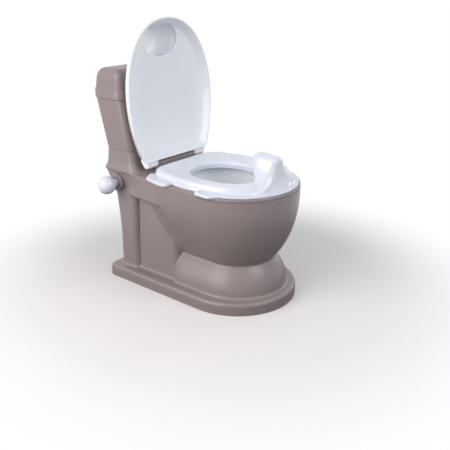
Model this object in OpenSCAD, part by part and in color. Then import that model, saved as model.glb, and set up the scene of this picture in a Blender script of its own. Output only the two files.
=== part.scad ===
// Potty training chair in the shape of a small household toilet.
// Millimetres, +Z up, front towards -Y. The origin is the middle of the plinth's underside.

/* [Plinth] */
// Length of the plinth from front to back
plinth_len = 359; // [354:1:370]
// Width of the plinth, whose front is a half circle
plinth_w = 230; // [226:1:240]
// Height of the plinth
plinth_h = 24; // [22:1:28]
// Radius of the plinth's upper edge
plinth_edge_r = 6; // [3:1:8]
// Radius of the plinth's rear corners
plinth_corner_r = 14; // [10:1:18]

/* [Pedestal and bowl] */
// Width of the pedestal where it leaves the plinth
pedestal_w = 190; // [186:1:192]
// Height at which the pedestal's dome would close
pedestal_close_z = 110; // [106:1:114]
// Width of the bowl at its belly
bowl_w = 228; // [224:1:230]
// Bowl centre behind the plinth's foremost point
bowl_setback = 112.5; // [111:0.5:114]
// Height of the belly, above which the bowl's side is upright
belly_z = 205; // [203:1:207]
// Depth from the belly at which the bowl's dome would close
bowl_depth = 160; // [156:1:164]
// Height of the bowl's rim
rim_z = 224; // [223:1:226]
// Height of the rim bead above the shadow groove
rim_bead_h = 5; // [4:0.5:7]
// Depth of the shadow groove under the rim bead
groove_depth = 1.2; // [0.8:0.1:1.6]

/* [Column and deck] */
// Width of the rear column
column_w = 195; // [190:1:198]
// Front face of the column in front of the plinth's rear edge
column_setback = 67.5; // [64:0.5:70]
// Width of the recessed web between the bowl and the column
web_w = 175; // [170:1:180]
// Underside of the deck's side band
band_z = 178; // [174:1:182]
// Thickness of the moulded walls
wall = 3; // [2.5:0.25:3.5]
// Radius of the upright corners of column and cistern
corner_r = 12; // [9:1:14]

/* [Cistern] */
// Height of the seam between body and cistern
tank_z = 262; // [258:1:266]
// Height of the cistern between its two seams
tank_h = 97; // [90:1:104]
// Width of the cistern at its lower seam
tank_w = 192; // [188:1:194]
// Width that the cistern gains towards its top
tank_flare = 8; // [4:1:10]
// Overhang of the cistern's lower seam behind the plinth
tank_overhang = 9; // [6:0.5:11]
// Backward lean of the cistern over its height
tank_lean = 21; // [16:1:24]
// Height of the cistern lid
tank_lid_h = 56; // [50:1:60]
// Radius of the cistern lid's upper edge
tank_lid_r = 18; // [14:1:20]
// Depth of the cistern lid's plug
plug_h = 4; // [3:0.5:5]
// Overhang of the cistern lid's lip
lip = 2; // [1.5:0.5:3]

/* [Toilet lid] */
// Length of the lid from its hinge line
lid_len = 265; // [262:1:268]
// Width of the lid at its widest
lid_w = 224.6; // [222:0.2:228]
// Distance of the widest place from the hinge line
lid_wide_at = 116.5; // [112:0.5:121]
// Width of the lid at the hinge line
lid_root_w = 174; // [170:1:178]
// Depth of the lid's skirt
lid_skirt = 19; // [17:0.5:21]
// Rise of the lid's crown above its skirt
lid_crown = 7; // [4:1:9]
// How far the lid's back stands in from its rim
lid_draft = 6; // [4:0.5:8]
// Wall of the lid
lid_wall = 2.5; // [2:0.25:3]
// Lean of the open lid
lid_lean = 4.1; // [3:0.1:6]
// Height of the hinge pins
hinge_z = 237; // [236:0.5:238]
// Hinge pins in front of the column's front face
hinge_setback = 18; // [17:0.5:19]
// Diameter of the hinge pins
pin_d = 5; // [4:0.5:6]
// Width of the gap between the lid's ears
ear_gap = 105; // [100:1:110]
// Width of one ear
ear_w = 33; // [26:1:34]
// Radius of an ear about its pin
ear_r = 7.8; // [7:0.1:8]

/* [Seat] */
// Thickness of the seat's flange
flange_t = 3.5; // [3:0.25:4]
// Height of the seat's crest above the bowl's rim
seat_h = 16; // [14:1:18]
// Gap between the raised seat and the lid's outline
seat_gap = 8; // [6:0.5:9]
// Width of the seat's hole
hole_w = 122; // [116:1:126]
// Length of the seat's hole
hole_len = 148; // [140:1:152]
// Wall of the seat
seat_wall = 3; // [2.5:0.25:3.5]
// Width of the splash guard at its foot
guard_w = 88; // [84:1:92]
// Length of the splash guard at its foot
guard_len = 54; // [50:1:55]
// Height of the splash guard above the bowl's rim
guard_h = 61; // [56:1:62]
// Width over the two side tabs
tab_span = 242; // [236:1:244]
// Width over the two rear ears of the seat
rear_ear_span = 246; // [240:1:248]

/* [Pot] */
// Width of the pot inside
pot_w = 160; // [154:1:164]
// Length of the pot inside
pot_len = 180; // [172:1:184]
// Depth of the pot
pot_depth = 110; // [95:1:116]
// Wall of the pot
pot_wall = 2.5; // [2:0.25:3]
// Width of the pot's flange
pot_flange = 9; // [7:0.5:10]

/* [Flush knob] */
// Diameter of the knob's ball
ball_d = 35; // [32:1:38]
// Distance of the ball's centre from the column's side
ball_reach = 31; // [29:0.5:34]
// Height of the knob's shaft
knob_z = 199; // [197:1:201]
// Knob shaft in front of the plinth's rear edge
knob_setback = 24.5; // [23:0.5:26]
// Diameter of the shaft
shaft_d = 10; // [8:0.5:11]
// Diameter of the bush's flange
bush_flange_d = 34; // [30:1:36]
// Diameter of the bush's barrel
bush_barrel_d = 20; // [17:0.5:22]
// Teeth of the click wheel
click_teeth = 12; // [10:1:16]
// Diameter of the click wheel
click_wheel_d = 26; // [24:1:28]

/* [Fasteners and pads] */
// Thickness of the base plate
plate_t = 4; // [3.5:0.25:5]
// Diameter of the screws
screw_d = 3.5; // [3:0.5:4]
// Length of the screws
screw_len = 14; // [12:1:16]
// Diameter of the non-slip pads
pad_d = 24; // [18:1:28]
// Thickness of the non-slip pads
pad_t = 2; // [1.5:0.25:2.5]

/* [Fits] */
// Gap between pieces that are screwed or set together
fit = 0.3; // [0.2:0.05:0.4]
// Radial clearance of a turning shaft in its bore
running = 0.08; // [0.05:0.01:0.1]

/* [Hidden] */

body_grey = [0.64, 0.59, 0.58];
gloss_white = [0.95, 0.95, 0.97];
steel = [0.75, 0.76, 0.78];
rubber = [0.22, 0.21, 0.21];

// Steps of a half circle, of a quarter corner, and round an oval
arc_steps = 24;
corner_steps = 3;
oval_steps = 36;
root_steps = 6;
// Length by which a cutting form passes the surface that it opens
over = 1;

// Places along Y
plinth_back = plinth_len / 2;
plinth_mid_y = -plinth_back + plinth_w / 2;
bowl_y = -plinth_back + bowl_setback;
column_front = plinth_back - column_setback;
hinge_y = column_front - hinge_setback;
knob_y = plinth_back - knob_setback;
pot_y = bowl_y + 27;

// Half widths
plinth_hw = plinth_w / 2;
pedestal_hw = pedestal_w / 2;
bowl_r = bowl_w / 2;
column_hw = column_w / 2;
web_hw = web_w / 2;
tank_hw = tank_w / 2;

// Rear face of the column and of the cistern's base, by height
column_back = [
    [0, plinth_back - 19], [93, plinth_back - 19], [132, plinth_back - 15.5],
    [174, plinth_back - 10], [190, plinth_back - 1], [208, plinth_back + 11],
    [222, plinth_back + 17], [231, plinth_back + 11.5], [tank_z, plinth_back + tank_overhang]
];
// Front face of the cistern's base, which sweeps down into the deck
base_front = [
    [rim_z, column_front - 11.5], [rim_z + 1, column_front - 7], [rim_z + 4, column_front - 3],
    [rim_z + 10, column_front + 1], [rim_z + 22, column_front + 5.5], [tank_z, column_front + 9]
];
// Half width of the cistern's base, by height
base_hw = [[rim_z, column_hw + 4], [rim_z + 12, column_hw], [tank_z, tank_hw]];

// Heights and places of the pieces that stack on the body
tank_top = tank_z + tank_h;
tank_front = column_front + 11;
tank_back = plinth_back + tank_overhang;
front_lean = tank_lean - 6;
tank_top_hw = tank_hw + tank_flare / 2;
pot_a = pot_w / 2;
pot_b = pot_len / 2;

// Places in the lid's own frame, along it from its hinge line
pin_drop = 3;
pin_reach = 18;
lid_root = 4;
lid_corner_r = 6;
lid_mid = 125;
seat_root = 14;
guard_y = bowl_y - 67;
guard_slope = 6;
guard_s = hinge_y - pin_drop - guard_y;
lid_rim_w = 4.9;
lid_back_w = lid_rim_w - lid_skirt;
lid_back_share = 1 - 2 * lid_draft / lid_w;
dish_top_w = lid_back_w - lid_crown + lid_wall;
dish_room = 7;
dish_shift = 3;
dish_h = rim_z + guard_h + dish_room - hinge_z + dish_top_w;
dish_hw = guard_w / 2 + 3;
dish_half_len = guard_len / 2 + 8;

// Places of the screws and pads
boss_d = 9;
boss_x = plinth_hw - boss_d;
base_screw_at = concat(
    [for (x = [-boss_x, boss_x], y = [-50, 45, 140]) [x, y]],
    [[0, -plinth_back + (plinth_hw - pedestal_hw) / 2 + wall / 2]]
);
pad_at = concat([for (x = [-78, 78], y = [-85, 40, 140]) [x, y]], [[0, -plinth_back + 32]]);
tank_screw_at = [for (x = [-1, 1], y = [tank_front + 17, tank_back - 17]) [x * (tank_hw - 17), y]];
hinge_screw_x = 30;

// ---------------------------------------------------------------- helpers

// Closed solid through a stack of rings with the same number of points each, capped by fans.
module loft(rings) {
    n = len(rings[0]);
    last = len(rings) - 1;
    caps = (last + 1) * n;
    ones = [for (i = [1:n]) 1 / n];
    polyhedron(
        points = concat([for (ring = rings) each ring], [ones * rings[0], ones * rings[last]]),
        faces = [for (i = [0:n - 1]) let (j = (i + 1) % n) each concat(
            [[caps, i, j], [caps + 1, last * n + j, last * n + i]],
            [for (k = [0:last - 1]) each
                [[k * n + i, (k + 1) * n + i, (k + 1) * n + j], [k * n + i, (k + 1) * n + j, k * n + j]]]
        )],
        convexity = 10
    );
}

// Ring with a half-round front, straight sides and rounded rear corners.
function d_ring(z, hw, mid_y, back, r, steps = arc_steps) = concat(
    [for (i = [0:steps]) let (a = 180 + 180 * i / steps)
        [hw * cos(a), mid_y + hw * sin(a), z]],
    [for (i = [0:corner_steps]) let (a = 90 * i / corner_steps)
        [hw - r + r * cos(a), back - r + r * sin(a), z]],
    [for (i = [0:corner_steps]) let (a = 90 + 90 * i / corner_steps)
        [-hw + r + r * cos(a), back - r + r * sin(a), z]]
);

// Rectangular ring with rounded corners.
function box_ring(z, hw, front, back, r) = [
    for (q = [0:3], i = [0:corner_steps]) let (a = 180 + 90 * q + 90 * i / corner_steps)
        [(q == 1 || q == 2 ? hw - r : r - hw) + r * cos(a), (q < 2 ? front + r : back - r) + r * sin(a), z]
];

// Oval ring, a little squarer than an ellipse.
function oval_ring(z, a, b, y, power = 2.2) = [
    for (i = [0:oval_steps - 1]) let (t = 360 * i / oval_steps, c = cos(t), s = sin(t))
        [a * sign(c) * pow(abs(c), 2 / power), y + b * sign(s) * pow(abs(s), 2 / power), z]
];

// Half widths of the pedestal's dome and of the bowl at a height.
function pedestal_at(z) = pedestal_hw * sqrt(1 - pow((z - plinth_h) / (pedestal_close_z - plinth_h), 2));
function bowl_at(z) = z > belly_z ? bowl_r : bowl_r * sqrt(1 - pow((belly_z - z) / bowl_depth, 2));

// ---------------------------------------------------------------- body

// Every form of the body takes an inset, so that the same module also draws its hollow.
module plinth_form(inset = 0) {
    top = plinth_h - inset;
    edge = [[-1, 0], [-0.66, 0.06], [-0.33, 0.25], [-0.1, 0.56], [0, 1]];
    loft(concat(
        [d_ring(
            inset > 0 ? -over : 0, plinth_hw - inset, plinth_mid_y,
            plinth_back - inset, plinth_corner_r)],
        [for (e = edge) d_ring(
            top + e[0] * plinth_edge_r, plinth_hw - inset - e[1] * plinth_edge_r, plinth_mid_y,
            plinth_back - inset - e[1] * plinth_edge_r, plinth_corner_r)]
    ));
}

module pedestal_form(inset = 0) {
    foot = plinth_h - 2 * wall - 1;
    steps = inset > 0 ? 4 : 6;
    crown = plinth_h + 62;
    loft(concat(
        [d_ring(foot, pedestal_hw - inset, bowl_y, bowl_y + pedestal_hw, 30, arc_steps - 3)],
        [for (k = [0:steps]) let (z = plinth_h + (crown - plinth_h) * k / steps)
            d_ring(z, pedestal_at(z) - inset, bowl_y, bowl_y + pedestal_hw, 30, arc_steps - 3)]
    ));
}

// The bowl's section: a half circle in front, and sides that slant in to the web behind.
function bowl_ring(z, inset) = let (
    r = bowl_at(z) - inset,
    front = bowl_y + 50 + 0.44 * (z - 81),
    back = bowl_y + 79 + 0.77 * (z - 81),
    tail = min(web_hw - 1 - inset, r - 1)
) concat(
    [for (i = [0:arc_steps]) let (a = 180 + 180 * i / arc_steps) [r * cos(a), bowl_y + r * sin(a), z]],
    [[r, front - inset, z], [r - 0.35 * (r - tail), front + 12 - inset, z], [tail, back - inset, z]],
    [[-tail, back - inset, z], [-r + 0.35 * (r - tail), front + 12 - inset, z], [-r, front - inset, z]]
);

module bowl_form(inset = 0) {
    bottom = belly_z - bowl_depth + 29;
    heights = inset > 0
        ? [0, 0.12, 0.28, 0.5, 0.75, 1]
        : [0, 0.05, 0.11, 0.19, 0.29, 0.41, 0.55, 0.7, 0.85, 1];
    top = rim_z - (inset > 0 ? inset : 1.5);
    loft([for (h = heights) bowl_ring(bottom + h * (top - bottom), inset)]);
}

module web_form(inset = 0) {
    front = bowl_y + 73;
    loft([
        box_ring(plinth_h - 2 * wall, web_hw + 2 - inset, front + inset, column_front + 20, 20),
        box_ring(band_z + 10, web_hw - 3 - inset, front + inset, column_front + 20, 20)
    ]);
}

// Rear column up to the deck.
module column_form(inset = 0) {
    low = plinth_h - 2 * wall;
    loft([for (z = [low, 93, 132, 174, 190, 208, rim_z - 2])
        box_ring(
            z, column_hw - inset, column_front + inset,
            lookup(z, column_back) - inset, corner_r - inset)]);
}

// Base of the cistern, from inside the deck up to the lower seam.
module sweep_form(inset = 0) {
    function ring(z, level) = box_ring(
        z, lookup(level, base_hw) - inset, lookup(level, base_front) + inset,
        lookup(level, column_back) - inset, corner_r - inset
    );
    loft(concat(
        [ring(rim_z - wall - over, rim_z)],
        [for (b = base_front) ring(b[0], b[0])],
        inset > 0 ? [ring(tank_z + over, tank_z)] : []
    ));
}

// Outline of the band at the deck: a half circle that tapers back to the column.
function band_ring(z, inset) = let (
    r = bowl_r - inset, b = lookup(z, column_back) - inset, c = corner_r - inset, w = column_hw - inset
) concat(
    [for (i = [0:arc_steps]) let (a = 180 + 180 * i / arc_steps, f = bowl_at(z) - inset - 0.4)
        [f * cos(a), bowl_y + f * sin(a), z]],
    [[r - 3, bowl_y + 85, z], [r - 10, column_front - 12, z], [w, column_front + 20, z]],
    [for (i = [0:corner_steps]) let (a = 90 * i / corner_steps)
        [w - c + c * cos(a), b - c + c * sin(a), z]],
    [for (i = [0:corner_steps]) let (a = 90 + 90 * i / corner_steps)
        [-w + c + c * cos(a), b - c + c * sin(a), z]],
    [[-w, column_front + 20, z], [-r + 10, column_front - 12, z], [-r + 3, bowl_y + 85, z]]
);

module band_form(inset = 0) {
    bottom = band_z + inset;
    top = rim_z - inset;
    if (inset > 0)
        loft([for (z = [bottom, belly_z, top]) band_ring(z, inset)]);
    else
        loft([band_ring(bottom, 0), band_ring(belly_z, 0), band_ring(top - 2, 0), band_ring(top, 1.5)]);
}

// Boss for a screw from below, with a rib to the plinth's wall.
module base_boss(at) {
    side = at[0] == 0 ? [0, -1] : [sign(at[0]), 0];
    translate([at[0], at[1], plate_t])
        cylinder(d = boss_d, h = plinth_h - wall - plate_t + 1, $fn = 16);
    hull()
        for (out = [0, 6])
            translate([at[0] + side[0] * out - 1, at[1] + side[1] * out - 1, plate_t + 4])
                cube([2, 2, plinth_h - wall - plate_t - 5]);
}

module tank_boss(at) {
    boss_h = 22;
    low = tank_z - plug_h - boss_h;
    translate([at[0], at[1], low])
        cylinder(d = boss_d, h = boss_h, $fn = 16);
    hull() {
        translate([at[0] - 1, at[1] - 1, low])
            cube([2, 2, boss_h - 3]);
        for (h = [2, boss_h - 5])
            translate([sign(at[0]) * (lookup(low + h + 2, base_hw) - wall / 2) - 1, at[1] - 1, low + h])
                cube([2, 2, 2]);
    }
}

module body_shell() {
    color(body_grey)
        difference() {
            union() {
                difference() {
                    union() {
                        plinth_form();
                        pedestal_form();
                        bowl_form();
                        web_form();
                        column_form();
                        band_form();
                        sweep_form();
                    }
                    plinth_form(wall);
                    pedestal_form(wall);
                    bowl_form(wall);
                    web_form(wall);
                    column_form(wall);
                    band_form(wall);
                    sweep_form(wall);
                }
                for (at = base_screw_at)
                    base_boss(at);
                for (at = tank_screw_at)
                    tank_boss(at);
            }
            rim_groove();
            pot_opening();
            for (at = base_screw_at)
                translate([at[0], at[1], -over])
                    cylinder(d = screw_d + 2 * fit, h = screw_len + plate_t + over, $fn = 12);
            for (at = tank_screw_at)
                translate([at[0], at[1], tank_z - plug_h - screw_len])
                    cylinder(d = screw_d + 2 * fit, h = screw_len + plug_h + over, $fn = 12);
            for (x = [-hinge_screw_x, hinge_screw_x])
                translate([x, hinge_y, rim_z - 2 * wall])
                    cylinder(d = screw_d + 2 * fit, h = 4 * wall, $fn = 12);
            translate([-column_hw - over, knob_y, knob_z])
                rotate([0, 90, 0])
                    cylinder(d = bush_barrel_d + 2 * fit, h = wall + 2 * over, $fn = 48);
        }
}

module rim_groove() {
    translate([0, bowl_y, rim_z - rim_bead_h - 1])
        rotate([0, 0, 180])
            rotate_extrude(angle = 180, $fn = 64)
                translate([bowl_r - groove_depth, 0])
                    square([groove_depth + over, 1.5]);
}

module pot_opening() {
    gap = pot_wall + 1;
    loft([for (z = [band_z + 10, rim_z + over]) oval_ring(z, pot_a + gap, pot_b + gap, pot_y)]);
}

// ---------------------------------------------------------------- base

module base_plate() {
    edge = wall + fit;
    color(body_grey)
        difference() {
            plate_outline(edge);
            for (at = pad_at)
                translate([at[0], at[1], -over])
                    cylinder(d = pad_d + 2 * fit, h = pad_t + over, $fn = 64);
            for (at = base_screw_at)
                translate([at[0], at[1], -over]) {
                    cylinder(d = screw_d + 2 * fit, h = plate_t + 2 * over, $fn = 32);
                    cylinder(d = 2 * screw_d + 2 * fit, h = over + plate_t / 2, $fn = 32);
                }
        }
}

module plate_outline(edge) {
    hw = plinth_hw - edge;
    r = plinth_corner_r + 3 * fit;
    translate([0, plinth_mid_y, 0])
        cylinder(r = hw, h = plate_t, $fn = 128);
    translate([-hw, plinth_mid_y, 0])
        cube([2 * hw, plinth_back - edge - r - plinth_mid_y, plate_t]);
    translate([-hw + r, plinth_mid_y, 0])
        cube([2 * (hw - r), plinth_back - edge - plinth_mid_y, plate_t]);
    for (x = [-hw + r, hw - r])
        translate([x, plinth_back - edge - r, 0])
            cylinder(r = r, h = plate_t, $fn = 48);
}

// Round-headed screw whose head's underside is at the origin, pointing up.
module screw(head_h) {
    translate([0, 0, -head_h])
        cylinder(d = 2 * screw_d, h = head_h, $fn = 32);
    cylinder(d = screw_d, h = screw_len, $fn = 24);
}

module base_screws() {
    color(steel)
        for (at = base_screw_at)
            translate([at[0], at[1], plate_t / 2])
                screw(plate_t / 2 - fit);
}

module foot_pads() {
    color(rubber)
        for (at = pad_at)
            translate([at[0], at[1], 0])
                cylinder(d = pad_d, h = pad_t, $fn = 64);
}

// ---------------------------------------------------------------- cistern

// Section of the cistern at a share of its height.
function tank_ring(share, inset, dz = 0) = box_ring(
    tank_z + share * tank_h + dz, tank_hw + share * tank_flare / 2 - inset,
    tank_front + share * front_lean + inset, tank_back + share * tank_lean - inset, corner_r - inset
);

// Open box with a floor and a plug that sits in the body.
module tank_shell() {
    plug = wall + fit;
    floor_z = wall / tank_h;
    color(body_grey)
        difference() {
            loft([
                tank_ring(0, plug, -plug_h), tank_ring(0, plug), tank_ring(0, 0), tank_ring(1, 0),
                tank_ring(1, wall), tank_ring(floor_z, wall)
            ]);
            for (at = tank_screw_at)
                translate([at[0], at[1], tank_z - plug_h - over])
                    cylinder(d = screw_d + 2 * fit, h = plug_h + wall + 2 * over, $fn = 32);
        }
}

module tank_screws() {
    color(steel)
        for (at = tank_screw_at)
            translate([at[0], at[1], tank_z + wall])
                rotate([180, 0, 0])
                    screw(2.5);
}

// Hollow lid with a lip outside and a plug inside the cistern's mouth.
module tank_lid() {
    lip_h = 17;
    plug = wall + 2 * fit;
    r = tank_lid_r;
    round_over = [for (a = [0:15:75]) [r * sin(a), r * (1 - cos(a))]];
    rise = tank_lid_h - r;
    function ring(dz, inset) = let (sink = min(dz, 0) / tank_h) box_ring(
        tank_top + dz, tank_top_hw + lip - inset + sink * tank_flare / 2,
        tank_front + front_lean * (1 + sink) - lip + inset,
        tank_back + tank_lean * (1 + sink) + lip - inset - 0.2 * max(dz - lip_h, 0),
        max(corner_r + lip - inset, 2)
    );
    color(body_grey)
        loft(concat(
            [ring(tank_lid_h - wall, r), ring(rise + r / 2, lip + wall + 3)],
            [ring(0, lip + plug + wall), ring(-plug_h, lip + plug + wall), ring(-plug_h, lip + plug)],
            [ring(0, lip + plug), ring(0, 0), ring(lip_h, 0), ring(lip_h + 1, 1)],
            [for (p = round_over) ring(rise + p[0], 1.5 + p[1])],
            [ring(tank_lid_h, r)]
        ));
}

// ---------------------------------------------------------------- toilet lid

// Half width of the lid's outline at a distance from the hinge line.
function lid_half(s) = s > lid_wide_at
    ? lid_w / 2 * pow(max(1 - pow((s - lid_wide_at) / (lid_len - lid_wide_at), 2.2), 0), 1 / 2.2)
    : lid_w / 2 - (lid_w - lid_root_w) / 2 * pow((lid_wide_at - s) / lid_wide_at, 1.9);

// Outline from the root corner round the tip and back, as [x, s] pairs.
function egg(root, r, gap) = let (
    low = root + r,
    corner = [for (a = [0:30:90]) let (s = root + r * (1 - cos(a)))
        [lid_half(s) - gap - r * (1 - sin(a)), s]],
    side = [for (k = [1:3]) let (s = low + (lid_wide_at - low) * k / 3) [lid_half(s) - gap, s]],
    front = [for (k = [1:9]) let (t = sin(90 * k / 9.5))
        [(lid_w / 2 - gap) * pow(1 - pow(t, 2.2), 1 / 2.2), lid_wide_at + (lid_len - gap - lid_wide_at) * t]],
    half = concat(corner, side, front)
) concat(
    half, [[0, lid_len - gap]], [for (i = [len(half) - 1:-1:0]) [-half[i][0], half[i][1]]],
    [for (k = [1:root_steps - 1]) [half[0][0] * (2 * k / root_steps - 1), root]]
);

// Ring of the lid's skin, drawn towards its middle by a share.
function lid_ring(share, w, gap = 0) = [
    for (p = egg(lid_root + gap, lid_corner_r, gap)) [p[0] * share, lid_mid + (p[1] - lid_mid) * share, w]
];

// The lid's skin: from the middle of its back over the skirt's rim to the middle of its inside.
module lid_form() {
    back = lid_back_share;
    shares = [0.32, 0.58, 0.79, 0.93];
    function crown(share) = lid_back_w - lid_crown * (1 - share * share);
    loft(concat(
        [for (k = shares) lid_ring(k * back, crown(k))],
        [lid_ring(0.97 * back, lid_back_w + 0.7), lid_ring(0.992 * back, lid_back_w + 2.6),
            lid_ring(back, lid_back_w + 5.5), lid_ring(1, lid_rim_w - 1), lid_ring(1, lid_rim_w, 0.8)],
        [lid_ring(1, lid_rim_w, lid_wall), lid_ring(back, lid_back_w + 6.5, lid_wall),
            lid_ring(0.985 * back, lid_back_w + lid_wall + 1, lid_wall)],
        [for (i = [len(shares) - 1:-1:0]) lid_ring(shares[i] * back, crown(shares[i]) + lid_wall, lid_wall)]
    ));
}

// Domed dish that clears the splash guard when the lid is down; it grows by its wall outside.
module dish_form(grow = 0) {
    profile = [
        [grow > 0 ? -0.1 : -0.3, 1.02, 1.02], [0.12, 0.97, 0.98], [0.35, 0.9, 0.95], [0.6, 0.81, 0.92],
        [0.83, 0.68, 0.87], [0.95, 0.55, 0.79], [1, 0.35, 0.5]
    ];
    loft([for (i = [len(profile) - 1:-1:0]) let (p = profile[i])
        oval_ring(dish_top_w - p[0] * dish_h - (p[0] > 0.5 ? grow * p[0] : 0),
            dish_hw * p[1] + grow, dish_half_len * p[2] + grow, guard_s + dish_shift)]);
}

// Puts a piece that is drawn lying down at the hinge, in the open lid's place.
module at_hinge() {
    translate([0, hinge_y, hinge_z])
        rotate([90 - lid_lean, 0, 0])
            children();
}

module lid_ear(side) {
    x = side > 0 ? ear_gap / 2 : -ear_gap / 2 - ear_w;
    hull() {
        translate([x, 0, 0])
            rotate([0, 90, 0])
                cylinder(r = ear_r, h = ear_w, $fn = 32);
        translate([x, pin_drop + lid_root - 1, -12])
            cube([ear_w, 3, 16]);
        translate([x, pin_drop + lid_root + 3, lid_back_w + 3])
            cube([ear_w, 4, 5]);
    }
}

module toilet_lid() {
    color(gloss_white)
        at_hinge()
            difference() {
                union() {
                    translate([0, pin_drop, 0]) {
                        lid_form();
                        dish_form(lid_wall);
                    }
                    for (side = [-1, 1])
                        lid_ear(side);
                }
                translate([0, pin_drop, 0])
                    dish_form();
                for (side = [-1, 1])
                    translate([side * (ear_gap / 2 + pin_reach / 2), 0, 0])
                        rotate([0, 90, 0])
                            cylinder(d = pin_d + 2 * running, h = pin_reach + 2, center = true, $fn = 48);
            }
}

// Block on the deck, with a barrel along its top that carries the two pins.
module hinge_block() {
    half = ear_gap / 2 - 0.7;
    barrel_r = pin_d / 2 + 2;
    color(body_grey)
        difference() {
            union() {
                translate([-half, hinge_y, hinge_z])
                    rotate([0, 90, 0])
                        cylinder(r = barrel_r, h = 2 * half, $fn = 48);
                translate([-half, hinge_y - barrel_r - 1.5, rim_z])
                    cube([2 * half, 2 * barrel_r + 3, hinge_z - rim_z]);
            }
            for (side = [-1, 1])
                translate([side * (ear_gap / 2 - 8), hinge_y, hinge_z])
                    rotate([0, 90, 0])
                        cylinder(d = pin_d, h = 16, center = true, $fn = 48);
            for (x = [-hinge_screw_x, hinge_screw_x])
                translate([x, hinge_y, rim_z - over])
                    cylinder(d = screw_d + 2 * fit, h = screw_len, $fn = 32);
        }
}

module hinge_screws() {
    color(steel)
        for (x = [-hinge_screw_x, hinge_screw_x])
            translate([x, hinge_y, rim_z - wall])
                screw(2.5);
}

module hinge_pins() {
    color(gloss_white)
        for (side = [-1, 1])
            translate([side * (ear_gap / 2 - 15 + (pin_reach + 14) / 2), hinge_y, hinge_z])
                rotate([0, 90, 0])
                    cylinder(d = pin_d, h = pin_reach + 14, center = true, $fn = 48);
}

// ---------------------------------------------------------------- seat

// Closed ring-shaped solid through rings that run round a section.
module loop_loft(rings) {
    n = len(rings[0]);
    m = len(rings);
    polyhedron(
        points = [for (ring = rings) each ring],
        faces = [for (k = [0:m - 1], i = [0:n - 1]) let (j = (i + 1) % n, u = (k + 1) % m)
            each [[k * n + i, u * n + i, u * n + j], [k * n + i, u * n + j, k * n + j]]],
        convexity = 10
    );
}

// The raised seat's outline, which follows the lid's, as [x, y] pairs.
seat_edge = let (e = egg(seat_root, 24, seat_gap))
    [for (i = [len(e) - 1:-1:0]) [e[i][0], hinge_y - pin_drop - e[i][1]]];

// Edge of the hole in the direction of an outline point.
function hole_point(p) = let (
    d = [p[0], p[1] - pot_y],
    across = pow(abs(d[0]) / norm(d) / (hole_w / 2), 2.2),
    along = pow(abs(d[1]) / norm(d) / (hole_len / 2), 2.2),
    r = 1 / pow(across + along, 1 / 2.2)
) [d[0] / norm(d) * r, pot_y + d[1] / norm(d) * r];

// Ring of the seat between its hole (share 0) and its outline (share 1).
function seat_ring_at(share, h) = [
    for (p = seat_edge) let (q = hole_point(p))
        [q[0] + (p[0] - q[0]) * share, q[1] + (p[1] - q[1]) * share, rim_z + h]
];

module seat_top() {
    skin = seat_wall;
    crest = seat_h;
    section = [
        [1, 0], [1, 6.5], [0.985, crest - 6], [0.95, crest - 2.5], [0.88, crest - 0.5], [0.78, crest],
        [0.6, crest - 1], [0.35, crest - 2.6], [0.15, crest - 4], [0.05, crest - 5.5], [0, crest - 9],
        [0, -3], [0.06, -3], [0.06, crest - 10.5], [0.16, crest - 4 - skin], [0.35, crest - 2.6 - skin],
        [0.6, crest - 1 - skin], [0.78, crest - skin], [0.86, crest - 1 - skin],
        [0.915, crest - 7], [0.935, 0]
    ];
    loop_loft([for (p = section) seat_ring_at(p[0], p[1])]);
}

// Lobe of the flange, a rounded plate over posts given as [x, y, radius, height].
module lobe(side, posts) {
    hull()
        for (p = posts)
            translate([side * p[0], bowl_y + p[1], rim_z])
                cylinder(r = p[2], h = p[3], $fn = 32);
}

module seat_flange() {
    tab_x = tab_span / 2;
    ear_x = rear_ear_span / 2;
    difference() {
        union() {
            translate([0, 0, rim_z])
                linear_extrude(flange_t)
                    union() {
                        intersection() {
                            translate([0, bowl_y])
                                circle(r = bowl_r - 3, $fn = 128);
                            translate([-bowl_r, bowl_y - bowl_r])
                                square([2 * bowl_r, bowl_r + 20]);
                        }
                        polygon([for (p = seat_edge) [p[0] * 1.015, p[1] + (p[1] < bowl_y ? 0 : 1)]]);
                    }
            for (side = [-1, 1]) {
                lobe(side, [[tab_x - 5, 1, 5, 6.6], [tab_x - 8, -22, 8, 4.5], [tab_x - 30, -30, 16, 5],
                    [tab_x - 30, 0, 6, 6.4]]);
                lobe(side, [[ear_x - 9, 81, 9, 6.6], [ear_x - 12, 96, 10, 5.5], [ear_x - 23, 122, 14, 4.5],
                    [ear_x - 36, 137, 8, 4.5], [ear_x - 36, 78, 6, 6.8]]);
            }
        }
        translate([0, 0, rim_z - 1])
            linear_extrude(seat_h)
                polygon([for (p = seat_edge) let (q = hole_point(p))
                    [q[0] + (p[0] - q[0]) * 0.96, q[1] + (p[1] - q[1]) * 0.96]]);
    }
}

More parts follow.
